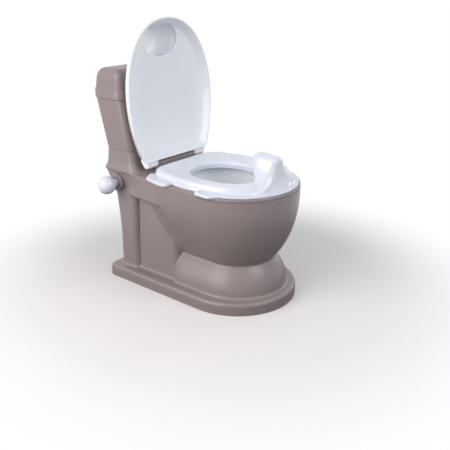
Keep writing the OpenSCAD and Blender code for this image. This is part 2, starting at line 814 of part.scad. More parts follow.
// Splash guard: a narrow saddle with a flared foot, higher behind than in front; the inset draws its hollow.
module guard_form(inset = 0) {
    foot_z = rim_z + 6;
    rise = guard_h - 6 - inset - guard_slope / 2;
    // Height, half width, half length, centre and rearward taper of each section
    profile = [
        [inset > 0 ? -0.08 : -0.04, 1.1, 0.94, -4, 0.3], [0.03, 1.02, 0.92, -4, 0.35],
        [0.09, 0.82, 0.9, -4, 0.4], [0.16, 0.65, 0.88, -3.5, 0.42], [0.26, 0.51, 0.87, -2.5, 0.38],
        [0.38, 0.44, 0.89, -1, 0.25], [0.56, 0.4, 0.91, 0.5, 0.1], [0.75, 0.38, 0.91, 1.5, 0],
        [0.88, 0.35, 0.88, 1.5, 0], [0.96, 0.28, 0.79, 1.5, 0], [1, 0.16, 0.56, 1.5, 0]
    ];
    loft([for (p = profile) let (
        root = inset > 0 ? 2 * max(1 - 4 * p[0], 0) : 0, thin = inset * min(1, 4 * p[1]),
        half = guard_len / 2 * p[2] - thin - root
    ) [for (q = oval_ring(0, guard_w / 2 * p[1] - thin, half, 0, 2.2 + 1.3 * max(p[0], 0)))
            [q[0] * (1 - p[4] * q[1] / half), guard_y + p[3] - root + q[1],
                foot_z + p[0] * rise + max(p[0], 0) * guard_slope * 2 * q[1] / guard_len]]
    ]);
}

module seat_ring() {
    color(gloss_white)
        difference() {
            union() {
                seat_top();
                seat_flange();
                guard_form();
            }
            guard_form(seat_wall);
        }
}

// ---------------------------------------------------------------- pot

// Removable pot: one skin from its outer bottom up over the flange and down inside.
module pot() {
    low = rim_z - pot_depth;
    top = rim_z + pot_wall;
    section = [[0, 0.6], [0.02, 0.68], [0.08, 0.76], [0.22, 0.84], [0.45, 0.91], [0.75, 0.97], [1, 1]];
    color(gloss_white)
        loft(concat(
            [for (p = section) oval_ring(
                low + p[0] * (rim_z - low), pot_a * p[1] + pot_wall, pot_b * p[1] + pot_wall, pot_y)],
            [oval_ring(rim_z, pot_a + pot_flange, pot_b + pot_flange, pot_y),
                oval_ring(top, pot_a + pot_flange, pot_b + pot_flange, pot_y)],
            [for (i = [len(section) - 1:-1:0]) let (
                p = section[i],
                z = i == len(section) - 1 ? top : low + pot_wall + p[0] * (rim_z - low)
            ) oval_ring(z, pot_a * p[1], pot_b * p[1], pot_y)]
        ));
}

// ---------------------------------------------------------------- flush knob

// Draws a piece along the knob's axis, where z is the distance inwards from the column's side.
module on_knob_axis() {
    translate([-column_hw, knob_y, knob_z])
        rotate([0, 90, 0])
            children();
}

// Distances along the knob's axis, inwards positive
bush_flange_t = 8;
bush_inner = 15;
bracket_t = 1.5;
nut_t = 5;
wheel_z = bush_inner + fit;
wheel_t = 6;
clip_z = wheel_z + wheel_t + fit;
clip_t = 1.2;
neck_z = -bush_flange_t - fit;
groove_w = 1.4;
shaft_end = clip_z + 6;
shaft_start = -ball_reach - 4;

module knob_ball() {
    neck_d = shaft_d + 6;
    color(gloss_white)
        on_knob_axis()
            difference() {
                union() {
                    translate([0, 0, -ball_reach])
                        sphere(d = ball_d, $fn = 96);
                    translate([0, 0, -ball_reach])
                        cylinder(d = neck_d, h = ball_reach + neck_z, $fn = 64);
                }
                translate([0, 0, shaft_start])
                    cylinder(d = shaft_d, h = ball_reach, $fn = 64);
            }
}

module knob_shaft() {
    color(steel)
        on_knob_axis()
            difference() {
                translate([0, 0, shaft_start])
                    cylinder(d = shaft_d, h = shaft_end - shaft_start, $fn = 64);
                translate([0, 0, clip_z - 0.1])
                    difference() {
                        cylinder(d = shaft_d + 2, h = groove_w, $fn = 64);
                        translate([0, 0, -over])
                            cylinder(d = shaft_d - 2, h = groove_w + 2 * over, $fn = 64);
                    }
            }
}

module shaft_bush() {
    color(body_grey)
        on_knob_axis()
            difference() {
                union() {
                    translate([0, 0, -bush_flange_t])
                        cylinder(d1 = bush_flange_d - 4, d2 = bush_flange_d, h = 3, $fn = 96);
                    translate([0, 0, -bush_flange_t + 3])
                        cylinder(d = bush_flange_d, h = bush_flange_t - 3, $fn = 96);
                    cylinder(d = bush_barrel_d, h = bush_inner, $fn = 64);
                }
                translate([0, 0, -bush_flange_t - over])
                    cylinder(d = shaft_d + 2 * running, h = bush_flange_t + bush_inner + 2 * over, $fn = 64);
            }
}

module bush_nut() {
    color(gloss_white)
        on_knob_axis()
            translate([0, 0, wall + bracket_t])
                difference() {
                    cylinder(d = bush_barrel_d + 12, h = nut_t, $fn = 6);
                    translate([0, 0, -over])
                        cylinder(d = bush_barrel_d + 2 * fit, h = nut_t + 2 * over, $fn = 64);
                }
}

// Star wheel with rounded valleys, one of which faces straight up.
module click_wheel() {
    valley_r = 2;
    color(gloss_white)
        on_knob_axis()
            translate([0, 0, wheel_z])
                difference() {
                    cylinder(d = click_wheel_d, h = wheel_t, $fn = 96);
                    translate([0, 0, -over])
                        cylinder(d = shaft_d, h = wheel_t + 2 * over, $fn = 64);
                    for (i = [0:click_teeth - 1])
                        rotate([0, 0, 180 + 360 * i / click_teeth])
                            translate([click_wheel_d / 2 + 0.6, 0, -over])
                                cylinder(r = valley_r, h = wheel_t + 2 * over, $fn = 32);
                }
}

module shaft_clip() {
    color(steel)
        on_knob_axis()
            translate([0, 0, clip_z])
                difference() {
                    cylinder(d = shaft_d + 5, h = clip_t, $fn = 48);
                    translate([0, 0, -over])
                        cylinder(d = shaft_d - 2 + 0.1, h = clip_t + 2 * over, $fn = 48);
                    translate([-1.5, 0, -over])
                        cube([3, shaft_d, clip_t + 2 * over]);
                }
}

// Plate clamped behind the nut, with a shelf over the wheel that carries the spring.
bracket_w = 16;
shelf_z = knob_z + click_wheel_d / 2 + 12;
module spring_bracket() {
    x = -column_hw + wall;
    color(steel)
        difference() {
            union() {
                translate([x, knob_y, knob_z])
                    rotate([0, 90, 0])
                        cylinder(d = bush_barrel_d + 8, h = bracket_t, $fn = 64);
                translate([x, knob_y - bracket_w / 2, knob_z])
                    cube([bracket_t, bracket_w, shelf_z - knob_z + bracket_t]);
                translate([x, knob_y - bracket_w / 2, shelf_z])
                    cube([wheel_z + wheel_t - wall, bracket_w, bracket_t]);
            }
            translate([x - over, knob_y, knob_z])
                rotate([0, 90, 0])
                    cylinder(d = bush_barrel_d + 2 * fit, h = bracket_t + 2 * over, $fn = 64);
            translate([spring_x, knob_y + rivet_dy, shelf_z - over])
                cylinder(d = rivet_d, h = bracket_t + 2 * over, $fn = 32);
        }
}

// Leaf spring: flat under the shelf, bent down, with a rounded nose in a valley of the wheel.
spring_t = 0.6;
spring_w = 5;
rivet_d = 2;
rivet_dy = 4;
spring_x = -column_hw + wheel_z + wheel_t / 2;
module click_spring() {
    nose_z = knob_z + click_wheel_d / 2 - 1;
    bend_z = nose_z + 6;
    color(steel)
        difference() {
            union() {
                translate([spring_x - spring_w / 2, knob_y - 7, shelf_z - spring_t])
                    cube([spring_w, 14, spring_t]);
                translate([spring_x - spring_w / 2, knob_y - 7, bend_z])
                    cube([spring_w, spring_t, shelf_z - bend_z]);
                translate([spring_x - spring_w / 2, knob_y - 7, bend_z])
                    cube([spring_w, 8, spring_t]);
                translate([spring_x - spring_w / 2, knob_y, nose_z + 1.5])
                    rotate([0, 90, 0])
                        cylinder(r = 1.2, h = spring_w, $fn = 32);
                translate([spring_x - spring_w / 2, knob_y - spring_t, nose_z + 1.5])
                    cube([spring_w, 2 * spring_t, bend_z - nose_z - 1.5]);
            }
            translate([spring_x, knob_y + rivet_dy, shelf_z - spring_t - over])
                cylinder(d = rivet_d, h = spring_t + 2 * over, $fn = 32);
        }
}

module spring_rivet() {
    head_h = 0.8;
    color(steel)
        translate([spring_x, knob_y + rivet_dy, shelf_z - spring_t - head_h]) {
            cylinder(d = 2 * rivet_d, h = head_h, $fn = 32);
            cylinder(d = rivet_d, h = 2 * head_h + spring_t + bracket_t, $fn = 32);
            translate([0, 0, head_h + spring_t + bracket_t])
                cylinder(d = 2 * rivet_d, h = head_h, $fn = 32);
        }
}

body_shell();
base_plate();
base_screws();
foot_pads();
tank_shell();
tank_screws();
tank_lid();
hinge_block();
hinge_screws();
hinge_pins();
toilet_lid();
seat_ring();
pot();
knob_ball();
knob_shaft();
shaft_bush();
bush_nut();
click_wheel();
shaft_clip();
spring_bracket();
click_spring();
spring_rivet();
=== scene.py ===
"""Potty training chair: moulded shells, lid, seat, pot and flush knob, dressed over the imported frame."""
import logging
import math
from dataclasses import dataclass
from enum import Enum
from typing import Sequence

import bmesh
import bpy
from mathutils import Matrix, Vector


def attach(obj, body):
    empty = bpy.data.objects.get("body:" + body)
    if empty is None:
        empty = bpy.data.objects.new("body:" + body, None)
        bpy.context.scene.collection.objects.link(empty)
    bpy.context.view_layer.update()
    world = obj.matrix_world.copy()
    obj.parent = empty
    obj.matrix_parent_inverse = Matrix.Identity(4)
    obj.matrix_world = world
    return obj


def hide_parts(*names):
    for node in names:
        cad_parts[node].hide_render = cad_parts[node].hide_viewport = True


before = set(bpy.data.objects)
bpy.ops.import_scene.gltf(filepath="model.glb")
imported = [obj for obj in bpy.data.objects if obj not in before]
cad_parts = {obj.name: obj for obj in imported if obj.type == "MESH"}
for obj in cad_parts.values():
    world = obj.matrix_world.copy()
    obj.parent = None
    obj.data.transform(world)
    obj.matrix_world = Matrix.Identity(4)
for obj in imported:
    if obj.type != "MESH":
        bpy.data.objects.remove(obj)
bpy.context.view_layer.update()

LOG = logging.getLogger("potty_chair")
MM = 0.001
ROUND_STEPS = 96
ROD_STEPS = 48
FAR = 400.0
SOFT_EDGE = 40.0
FIRM_EDGE = 30.0

Point = tuple[float, float, float]
Ring = list[Point]
Row = tuple[float, float]
Tone = tuple[int, int, int]


class Body(Enum):
    """Rigid bodies of the frame that pieces ride on."""

    BODY = "body"
    LID = "lid"
    POT = "pot"
    SEAT = "seat"
    CISTERN_LID = "cistern_lid"
    KNOB = "knob"


class Slot(Enum):
    """Material slots of the record."""

    TAUPE = "body_plastic"
    WHITE = "white_plastic"
    STEEL = "steel"
    RUBBER = "pad_rubber"


# ---------------------------------------------------------------- rings and solids


def table(z: float, rows: Sequence[Row]) -> float:
    """Read a height table with straight lines between its rows.

    Args:
        z: Height in millimetres.
        rows: Pairs of height and value, lowest first.

    Returns:
        The value at the height, held level beyond the ends.
    """
    if z <= rows[0][0]:
        return rows[0][1]
    for (z0, v0), (z1, v1) in zip(rows, rows[1:]):
        if z <= z1:
            return v0 + (v1 - v0) * (z - z0) / (z1 - z0)
    return rows[-1][1]


def eased(z: float, rows: Sequence[Row]) -> float:
    """Read a height table along a smooth curve through its rows.

    Args:
        z: Height in millimetres.
        rows: Pairs of height and value, lowest first.

    Returns:
        The value of a monotone cubic curve at the height.
    """
    if z <= rows[0][0] or z >= rows[-1][0]:
        return table(z, rows)
    k = next(i for i in range(len(rows) - 1) if z <= rows[i + 1][0])
    slopes = [(b[1] - a[1]) / (b[0] - a[0]) for a, b in zip(rows, rows[1:])]

    def tangent(i: int) -> float:
        """Slope at a row, level where the curve turns."""
        if i == 0 or i == len(rows) - 1:
            return slopes[0 if i == 0 else -1]
        a, b = slopes[i - 1], slopes[i]
        return 0.0 if a * b <= 0 else 2 * a * b / (a + b)

    (z0, v0), (z1, v1) = rows[k], rows[k + 1]
    h = z1 - z0
    t = (z - z0) / h
    return (
        v0 * (2 * t**3 - 3 * t**2 + 1)
        + v1 * (3 * t**2 - 2 * t**3)
        + tangent(k) * h * (t**3 - 2 * t**2 + t)
        + tangent(k + 1) * h * (t**3 - t**2)
    )


def span(start: float, end: float, count: int) -> list[float]:
    """Evenly spaced numbers from start to end, both included."""
    return [start + (end - start) * i / (count - 1) for i in range(count)]


def arc(cx: float, cy: float, r: float, start: float, end: float, steps: int) -> list[Row]:
    """Points of an arc, with its angles in degrees."""
    return [
        (cx + r * math.cos(math.radians(a)), cy + r * math.sin(math.radians(a)))
        for a in span(start, end, steps + 1)
    ]


def box_ring(z: float, hw: float, front: float, back: float, r: float, steps: int = 10) -> Ring:
    """Rectangular ring with rounded corners at a height."""
    flat = (
        arc(r - hw, front + r, r, 180, 270, steps)
        + arc(hw - r, front + r, r, 270, 360, steps)
        + arc(hw - r, back - r, r, 0, 90, steps)
        + arc(r - hw, back - r, r, 90, 180, steps)
    )
    return [(x, y, z) for x, y in flat]


def d_ring(z: float, hw: float, mid_y: float, back: float, r: float) -> Ring:
    """Ring with a half-round front, straight sides and rounded rear corners."""
    flat = (
        arc(0, mid_y, hw, 180, 360, ROUND_STEPS)
        + arc(hw - r, back - r, r, 0, 90, 12)
        + arc(r - hw, back - r, r, 90, 180, 12)
    )
    return [(x, y, z) for x, y in flat]


def oval_ring(z: float, a: float, b: float, y: float, power: float = 2.2) -> Ring:
    """Oval ring, a little squarer than an ellipse."""
    ring = []
    for i in range(ROUND_STEPS):
        t = 2 * math.pi * i / ROUND_STEPS
        c, s = math.cos(t), math.sin(t)
        x, v = (k * math.copysign(abs(u) ** (2 / power), u) for k, u in ((a, c), (b, s)))
        ring.append((x, y + v, z))
    return ring


def linked(name: str, data: bpy.types.ID) -> bpy.types.Object:
    """New object with its data, linked to the scene."""
    made = bpy.data.objects.new(name, data)
    bpy.context.scene.collection.objects.link(made)
    return made


def solid(name: str, points: Sequence[Point], faces: Sequence[Sequence[int]]) -> bpy.types.Object:
    """Make a closed solid from millimetre points.

    Args:
        name: Name of the object and its mesh.
        points: Corners in millimetres.
        faces: Corner numbers of each face.

    Returns:
        The linked object, with doubles merged and faces outwards.
    """
    mesh = bpy.data.meshes.new(name)
    mesh.from_pydata([(x * MM, y * MM, z * MM) for x, y, z in points], [], faces)
    work = bmesh.new()
    work.from_mesh(mesh)
    bmesh.ops.remove_doubles(work, verts=work.verts, dist=1e-7)
    bmesh.ops.recalc_face_normals(work, faces=work.faces)
    work.to_mesh(mesh)
    work.free()
    return linked(name, mesh)


def loft(name: str, rings: Sequence[Ring], closed: bool = False) -> bpy.types.Object:
    """Skin a stack of rings with equal point counts.

    Args:
        name: Name of the object.
        rings: Rings from one end to the other.
        closed: True where the last ring meets the first, as round a ring-shaped solid.

    Returns:
        The closed solid.
    """
    n, last = len(rings[0]), len(rings) - 1
    points = [p for ring in rings for p in ring]
    faces: list[tuple[int, ...]] = []
    for k in range(len(rings) if closed else last):
        u = (k + 1) % len(rings)
        for i in range(n):
            j = (i + 1) % n
            faces.append((k * n + i, u * n + i, u * n + j, k * n + j))
    if not closed:
        for k in (0, last):
            centre = tuple(sum(p[a] for p in rings[k]) / n for a in range(3))
            points.append(centre)
            c = len(points) - 1
            faces += [(c, k * n + i, k * n + (i + 1) % n) for i in range(n)]
    return solid(name, points, faces)


def circle(r: float, z: float, steps: int) -> Ring:
    """Round ring at a height."""
    return [
        (r * math.cos(2 * math.pi * i / steps), r * math.sin(2 * math.pi * i / steps), z)
        for i in range(steps)
    ]


def lathe(name: str, profile: Sequence[Row]) -> bpy.types.Object:
    """Turn a closed profile of radius and height pairs round Z."""
    return loft(name, [circle(r, h, ROUND_STEPS) for r, h in profile], closed=True)


def prism(name: str, outline: Sequence[Row], low: float, high: float) -> bpy.types.Object:
    """Extrude a flat outline between two heights."""
    n = len(outline)
    points = [(x, y, z) for z in (low, high) for x, y in outline]
    faces: list[tuple[int, ...]] = [(i, (i + 1) % n, n + (i + 1) % n, n + i) for i in range(n)]
    faces += [tuple(range(n)), tuple(range(2 * n - 1, n - 1, -1))]
    return solid(name, points, faces)


def block(name: str, low: Point, high: Point) -> bpy.types.Object:
    """Box between two corners, for cutting."""
    return prism(
        name, [(low[0], low[1]), (high[0], low[1]), (high[0], high[1]), (low[0], high[1])], low[2], high[2]
    )


def rod(name: str, start: Point, end: Point, d: float) -> bpy.types.Object:
    """Round bar between two points, for cutting."""
    a, b = Vector(start), Vector(end)
    turn = (b - a).to_track_quat("Z", "Y").to_matrix()
    ring = [Vector(p) for p in circle(d / 2, 0.0, ROD_STEPS)]
    return loft(name, [[tuple(base + turn @ p) for p in ring] for base in (a, b)])


# ---------------------------------------------------------------- shaping


def wrapped(name: str, points: Sequence[Point]) -> bpy.types.Object:
    """Smallest convex solid round a set of millimetre points."""
    work = bmesh.new()
    for point in points:
        work.verts.new(Vector(point) * MM)
    bmesh.ops.convex_hull(work, input=work.verts)
    bmesh.ops.delete(work, geom=[v for v in work.verts if not v.link_faces], context="VERTS")
    bmesh.ops.recalc_face_normals(work, faces=work.faces)
    mesh = bpy.data.meshes.new(name)
    work.to_mesh(mesh)
    work.free()
    return linked(name, mesh)


def bake(target: bpy.types.Object) -> None:
    """Turn an object's modifiers into its mesh."""
    depsgraph = bpy.context.evaluated_depsgraph_get()
    mesh = bpy.data.meshes.new_from_object(target.evaluated_get(depsgraph))
    target.modifiers.clear()
    target.data = mesh


def join_solids(target: bpy.types.Object, others: Sequence[bpy.types.Object], cut: bool = False) -> None:
    """Fuse solids to the target, or cut them from it, and remove them.

    Args:
        target: Solid that stays.
        others: Solids that are used up.
        cut: True to cut them away.
    """
    for other in others:
        step = target.modifiers.new("solid", "BOOLEAN")
        step.operation = "DIFFERENCE" if cut else "UNION"
        step.solver = "MANIFOLD"
        step.object = other
        bake(target)
        bpy.data.objects.remove(other)


def mould(target: bpy.types.Object, voxel: float, passes: int) -> None:
    """Blend a solid's joins as a moulding's fillets do.

    Args:
        target: Closed solid.
        voxel: Size of the remesh cells in millimetres.
        passes: Smoothing passes, each of which rounds edges a little more.
    """
    cells = target.modifiers.new("cells", "REMESH")
    cells.mode = "VOXEL"
    cells.voxel_size = voxel * MM
    soften = target.modifiers.new("soften", "SMOOTH")
    soften.factor = 0.5
    soften.iterations = passes
    bake(target)


def shade(target: bpy.types.Object, angle: float) -> None:
    """Shade smooth, with sharp edges past an angle in degrees."""
    mesh = target.data
    mesh.polygons.foreach_set("use_smooth", [True] * len(mesh.polygons))
    mesh.set_sharp_from_angle(angle=math.radians(angle))


def place(target: bpy.types.Object, turn: Matrix) -> None:
    """Move a mesh in millimetre terms, leaving the object at the origin."""
    turn = turn.copy()
    turn.translation *= MM
    target.data.transform(turn)


# ---------------------------------------------------------------- finishes


def linear(red: int, green: int, blue: int) -> tuple[float, float, float, float]:
    """Convert display values of 0 to 255 to a shader colour."""

    def one(v: int) -> float:
        """Undo the display curve of one channel."""
        c = v / 255
        return c / 12.92 if c <= 0.04045 else ((c + 0.055) / 1.055) ** 2.4

    return (one(red), one(green), one(blue), 1.0)


class Graph:
    """Node tree that grows by one node at a time."""

    def __init__(self, tree: bpy.types.NodeTree) -> None:
        """Take hold of a tree."""
        self.tree = tree

    def fill(self, node: bpy.types.Node, inputs: dict[str | int, object]) -> None:
        """Set a node's inputs, each to a value or from another node's socket."""
        for key, value in inputs.items():
            if isinstance(value, bpy.types.NodeSocket):
                self.tree.links.new(value, node.inputs[key])
            else:
                node.inputs[key].default_value = value

    def add(
        self, kind: str, inputs: dict[str | int, object] | None = None, out: str | int = 0, **settings: str
    ) -> bpy.types.NodeSocket:
        """Add a node.

        Args:
            kind: Type of the node.
            inputs: Values or sockets for its inputs, by name or number.
            out: Name or number of the output that is wanted.
            settings: Other properties of the node, set before its inputs.

        Returns:
            The output that is wanted.
        """
        node = self.tree.nodes.new(kind)
        for name, value in settings.items():
            setattr(node, name, value)
        self.fill(node, inputs or {})
        return node.outputs[out]

    def noise(
        self, scale: float, detail: float, where: bpy.types.NodeSocket | None = None
    ) -> bpy.types.NodeSocket:
        """Noise on object coordinates, or on the given ones."""
        where = where or self.add("ShaderNodeTexCoord", out="Object")
        return self.add("ShaderNodeTexNoise", {"Vector": where, "Scale": scale, "Detail": detail}, "Fac")

    def ramp(self, share: bpy.types.NodeSocket, low: Tone, high: Tone) -> bpy.types.NodeSocket:
        """Colour between two display colours."""
        made = self.add("ShaderNodeValToRGB", {"Fac": share}, "Color")
        for element, colour in zip(made.node.color_ramp.elements, (low, high)):
            element.color = linear(*colour)
        return made

    def between(self, share: bpy.types.NodeSocket, low: float, high: float) -> bpy.types.NodeSocket:
        """Value between two limits."""
        return self.add("ShaderNodeMapRange", {"Value": share, "To Min": low, "To Max": high}, "Result")


class Surface(Graph):
    """New material with its nodes."""

    def __init__(self, name: str) -> None:
        """Start the material with its main shader."""
        self.material = bpy.data.materials.new(name)
        self.material.use_nodes = True
        super().__init__(self.material.node_tree)
        self.shader = self.tree.nodes["Principled BSDF"]


@dataclass(frozen=True)
class Moulded:
    """Injection-moulded plastic with a faint grain, slow colour drift and handling marks."""

    name: str
    colour: Tone
    drift: Tone
    roughness: float
    rough_spread: float
    grain_scale: float
    grain_depth: float
    wave_depth: float
    coat: float
    coat_roughness: float
    glow: float = 0.0

    def material(self) -> bpy.types.Material:
        """Build the material's nodes.

        Returns:
            The finished material.
        """
        made = Surface(self.name)
        tone = made.add("ShaderNodeMix", {
            "Factor": made.noise(9.0, 3.0), "A": linear(*self.colour), "B": linear(*self.drift),
        }, "Result", data_type="RGBA")
        wave = made.add("ShaderNodeBump", {
            "Strength": 1.0, "Distance": self.wave_depth * MM, "Height": made.noise(26.0, 1.0),
        })
        grain = made.add("ShaderNodeBump", {
            "Strength": 1.0, "Distance": self.grain_depth * MM, "Height": made.noise(self.grain_scale, 2.0),
            "Normal": wave,
        })
        low, high = self.roughness - self.rough_spread, self.roughness + self.rough_spread
        made.fill(made.shader, {
            "Base Color": tone, "Roughness": made.between(made.noise(55.0, 5.0), low, high), "Normal": grain,
            "IOR": 1.49, "Coat Weight": self.coat, "Coat Roughness": self.coat_roughness,
        })
        if self.glow:
            made.fill(made.shader, {
                "Subsurface Weight": self.glow,
                "Subsurface Radius": (1.0, 0.9, 0.8),
                "Subsurface Scale": 0.004,
            })
        return made.material


@dataclass(frozen=True)
class PlatedSteel:
    """Zinc-plated steel with fine drawn streaks."""

    name: str = "plated_steel"

    def material(self) -> bpy.types.Material:
        """Build the material's nodes."""
        made = Surface(self.name)
        where = made.add("ShaderNodeTexCoord", out="Object")
        streaks = made.noise(
            320.0, 4.0, made.add("ShaderNodeMapping", {"Vector": where, "Scale": (1.0, 8.0, 1.0)})
        )
        made.fill(made.shader, {
            "Metallic": 1.0, "Base Color": made.ramp(streaks, (176, 178, 182), (206, 206, 204)),
            "Roughness": made.between(streaks, 0.24, 0.42),
        })
        return made.material


@dataclass(frozen=True)
class PadRubber:
    """Dark soft rubber with a pebbled skin."""

    name: str = "pad_rubber"

    def material(self) -> bpy.types.Material:
        """Build the material's nodes."""
        made = Surface(self.name)
        where = made.add("ShaderNodeTexCoord", out="Object")
        pebbles = made.add("ShaderNodeTexVoronoi", {"Vector": where, "Scale": 900.0}, "Distance")
        made.fill(made.shader, {
            "Roughness": 0.75, "Base Color": made.ramp(pebbles, (38, 37, 37), (62, 60, 59)),
            "Normal": made.add("ShaderNodeBump", {"Distance": 0.08 * MM, "Height": pebbles}),
        })
        return made.material


class Finishes:
    """The chair's finishes, built once and shared."""

    def __init__(self) -> None:
        """Build every material."""
        self.made: dict[Slot, bpy.types.Material] = {
            Slot.TAUPE: Moulded(
                "taupe_satin_shell", (147, 133, 132), (142, 128, 127), 0.36, 0.05, 900.0, 0.012, 0.05,
                coat=0.12, coat_roughness=0.3,
            ).material(),
            Slot.WHITE: Moulded(
                "white_gloss_shell", (226, 229, 239), (222, 226, 237), 0.2, 0.04, 700.0, 0.004, 0.03,
                coat=0.5, coat_roughness=0.08, glow=0.3,
            ).material(),
            Slot.STEEL: PlatedSteel().material(),
            Slot.RUBBER: PadRubber().material(),
        }
        # Painted light: a lighter copy of the same white plastic for the lid and the pot, which brightens
        # their shaded insides; the seat and the knob keep the darker white above.
        self.painted_light = Moulded(
            "painted_light_white_shell", (248, 251, 255), (246, 249, 254), 0.24, 0.04, 700.0, 0.004, 0.03,
            coat=0.4, coat_roughness=0.1, glow=0.3,
        ).material()

    def dress(self, piece: bpy.types.Object, slot: Slot, painted_light: bool = False) -> None:
        """Give a new piece its finish, or the lighter white that paints light into the shaded lid and pot,
        and its record slot.
        """
        piece.data.materials.clear()
        piece.data.materials.append(self.painted_light if painted_light else self.made[slot])

    def dress_node(self, node: str, slot: Slot) -> None:
        """Give a carried-over node its finish."""
        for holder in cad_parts[node].material_slots:
            holder.material = self.made[slot]


def put(
    piece: bpy.types.Object, body: Body, slot: Slot, finishes: Finishes, nodes: Sequence[str],
    painted_light: bool = False,
) -> None:
    """Finish a piece, attach it to its body and let it stand for its nodes.

    Args:
        piece: The finished piece.
        body: Body that it rides on.
        slot: Material slot that it takes.
        finishes: The chair's finishes.
        nodes: Nodes of the frame that it replaces.
        painted_light: True for the lighter copy of the white, which paints light into the shaded insides of
            the lid and the pot.
    """
    finishes.dress(piece, slot, painted_light)
    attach(piece, body.value)
    if nodes:
        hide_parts(*nodes)
    LOG.info("%s: %d faces on %s", piece.name, len(piece.data.polygons), body.value)


# ---------------------------------------------------------------- sizes that the pieces share


@dataclass(frozen=True)
class ChairSizes:
    """Main sizes in millimetres."""

    plinth_len: float = 359.0
    plinth_w: float = 230.0
    plinth_h: float = 24.0
    bowl_w: float = 228.0
    bowl_setback: float = 112.5
    belly_z: float = 205.0
    bowl_depth: float = 160.0
    rim_z: float = 224.0
    column_w: float = 195.0
    column_setback: float = 67.5
    tank_z: float = 262.0
    tank_h: float = 97.0
    tank_w: float = 192.0
    tank_overhang: float = 9.0
    wall: float = 3.0
    hinge_z: float = 237.0
    hinge_setback: float = 18.0
    corner_r: float = 12.0
    knob_y: float = 155.0
    knob_z: float = 199.0

    @property
    def back(self) -> float:
        """Rear edge of the plinth."""
        return self.plinth_len / 2

    @property
    def bowl_y(self) -> float:
        """Centre of the bowl."""
        return self.bowl_setback - self.back

    @property
    def column_front(self) -> float:
        """Front face of the rear column."""
        return self.back - self.column_setback

    @property
    def hinge_y(self) -> float:
        """Line of the lid's hinge pins."""
        return self.column_front - self.hinge_setback

    @property
    def pot_y(self) -> float:
        """Centre of the pot and of the seat's hole."""
        return self.bowl_y + 27

    @property
    def tank_front(self) -> float:
        """Front of the cistern at its lower seam."""
        return self.column_front + 11

    @property
    def tank_back(self) -> float:
        """Rear of the cistern at its lower seam."""
        return self.back + self.tank_overhang


# ---------------------------------------------------------------- body


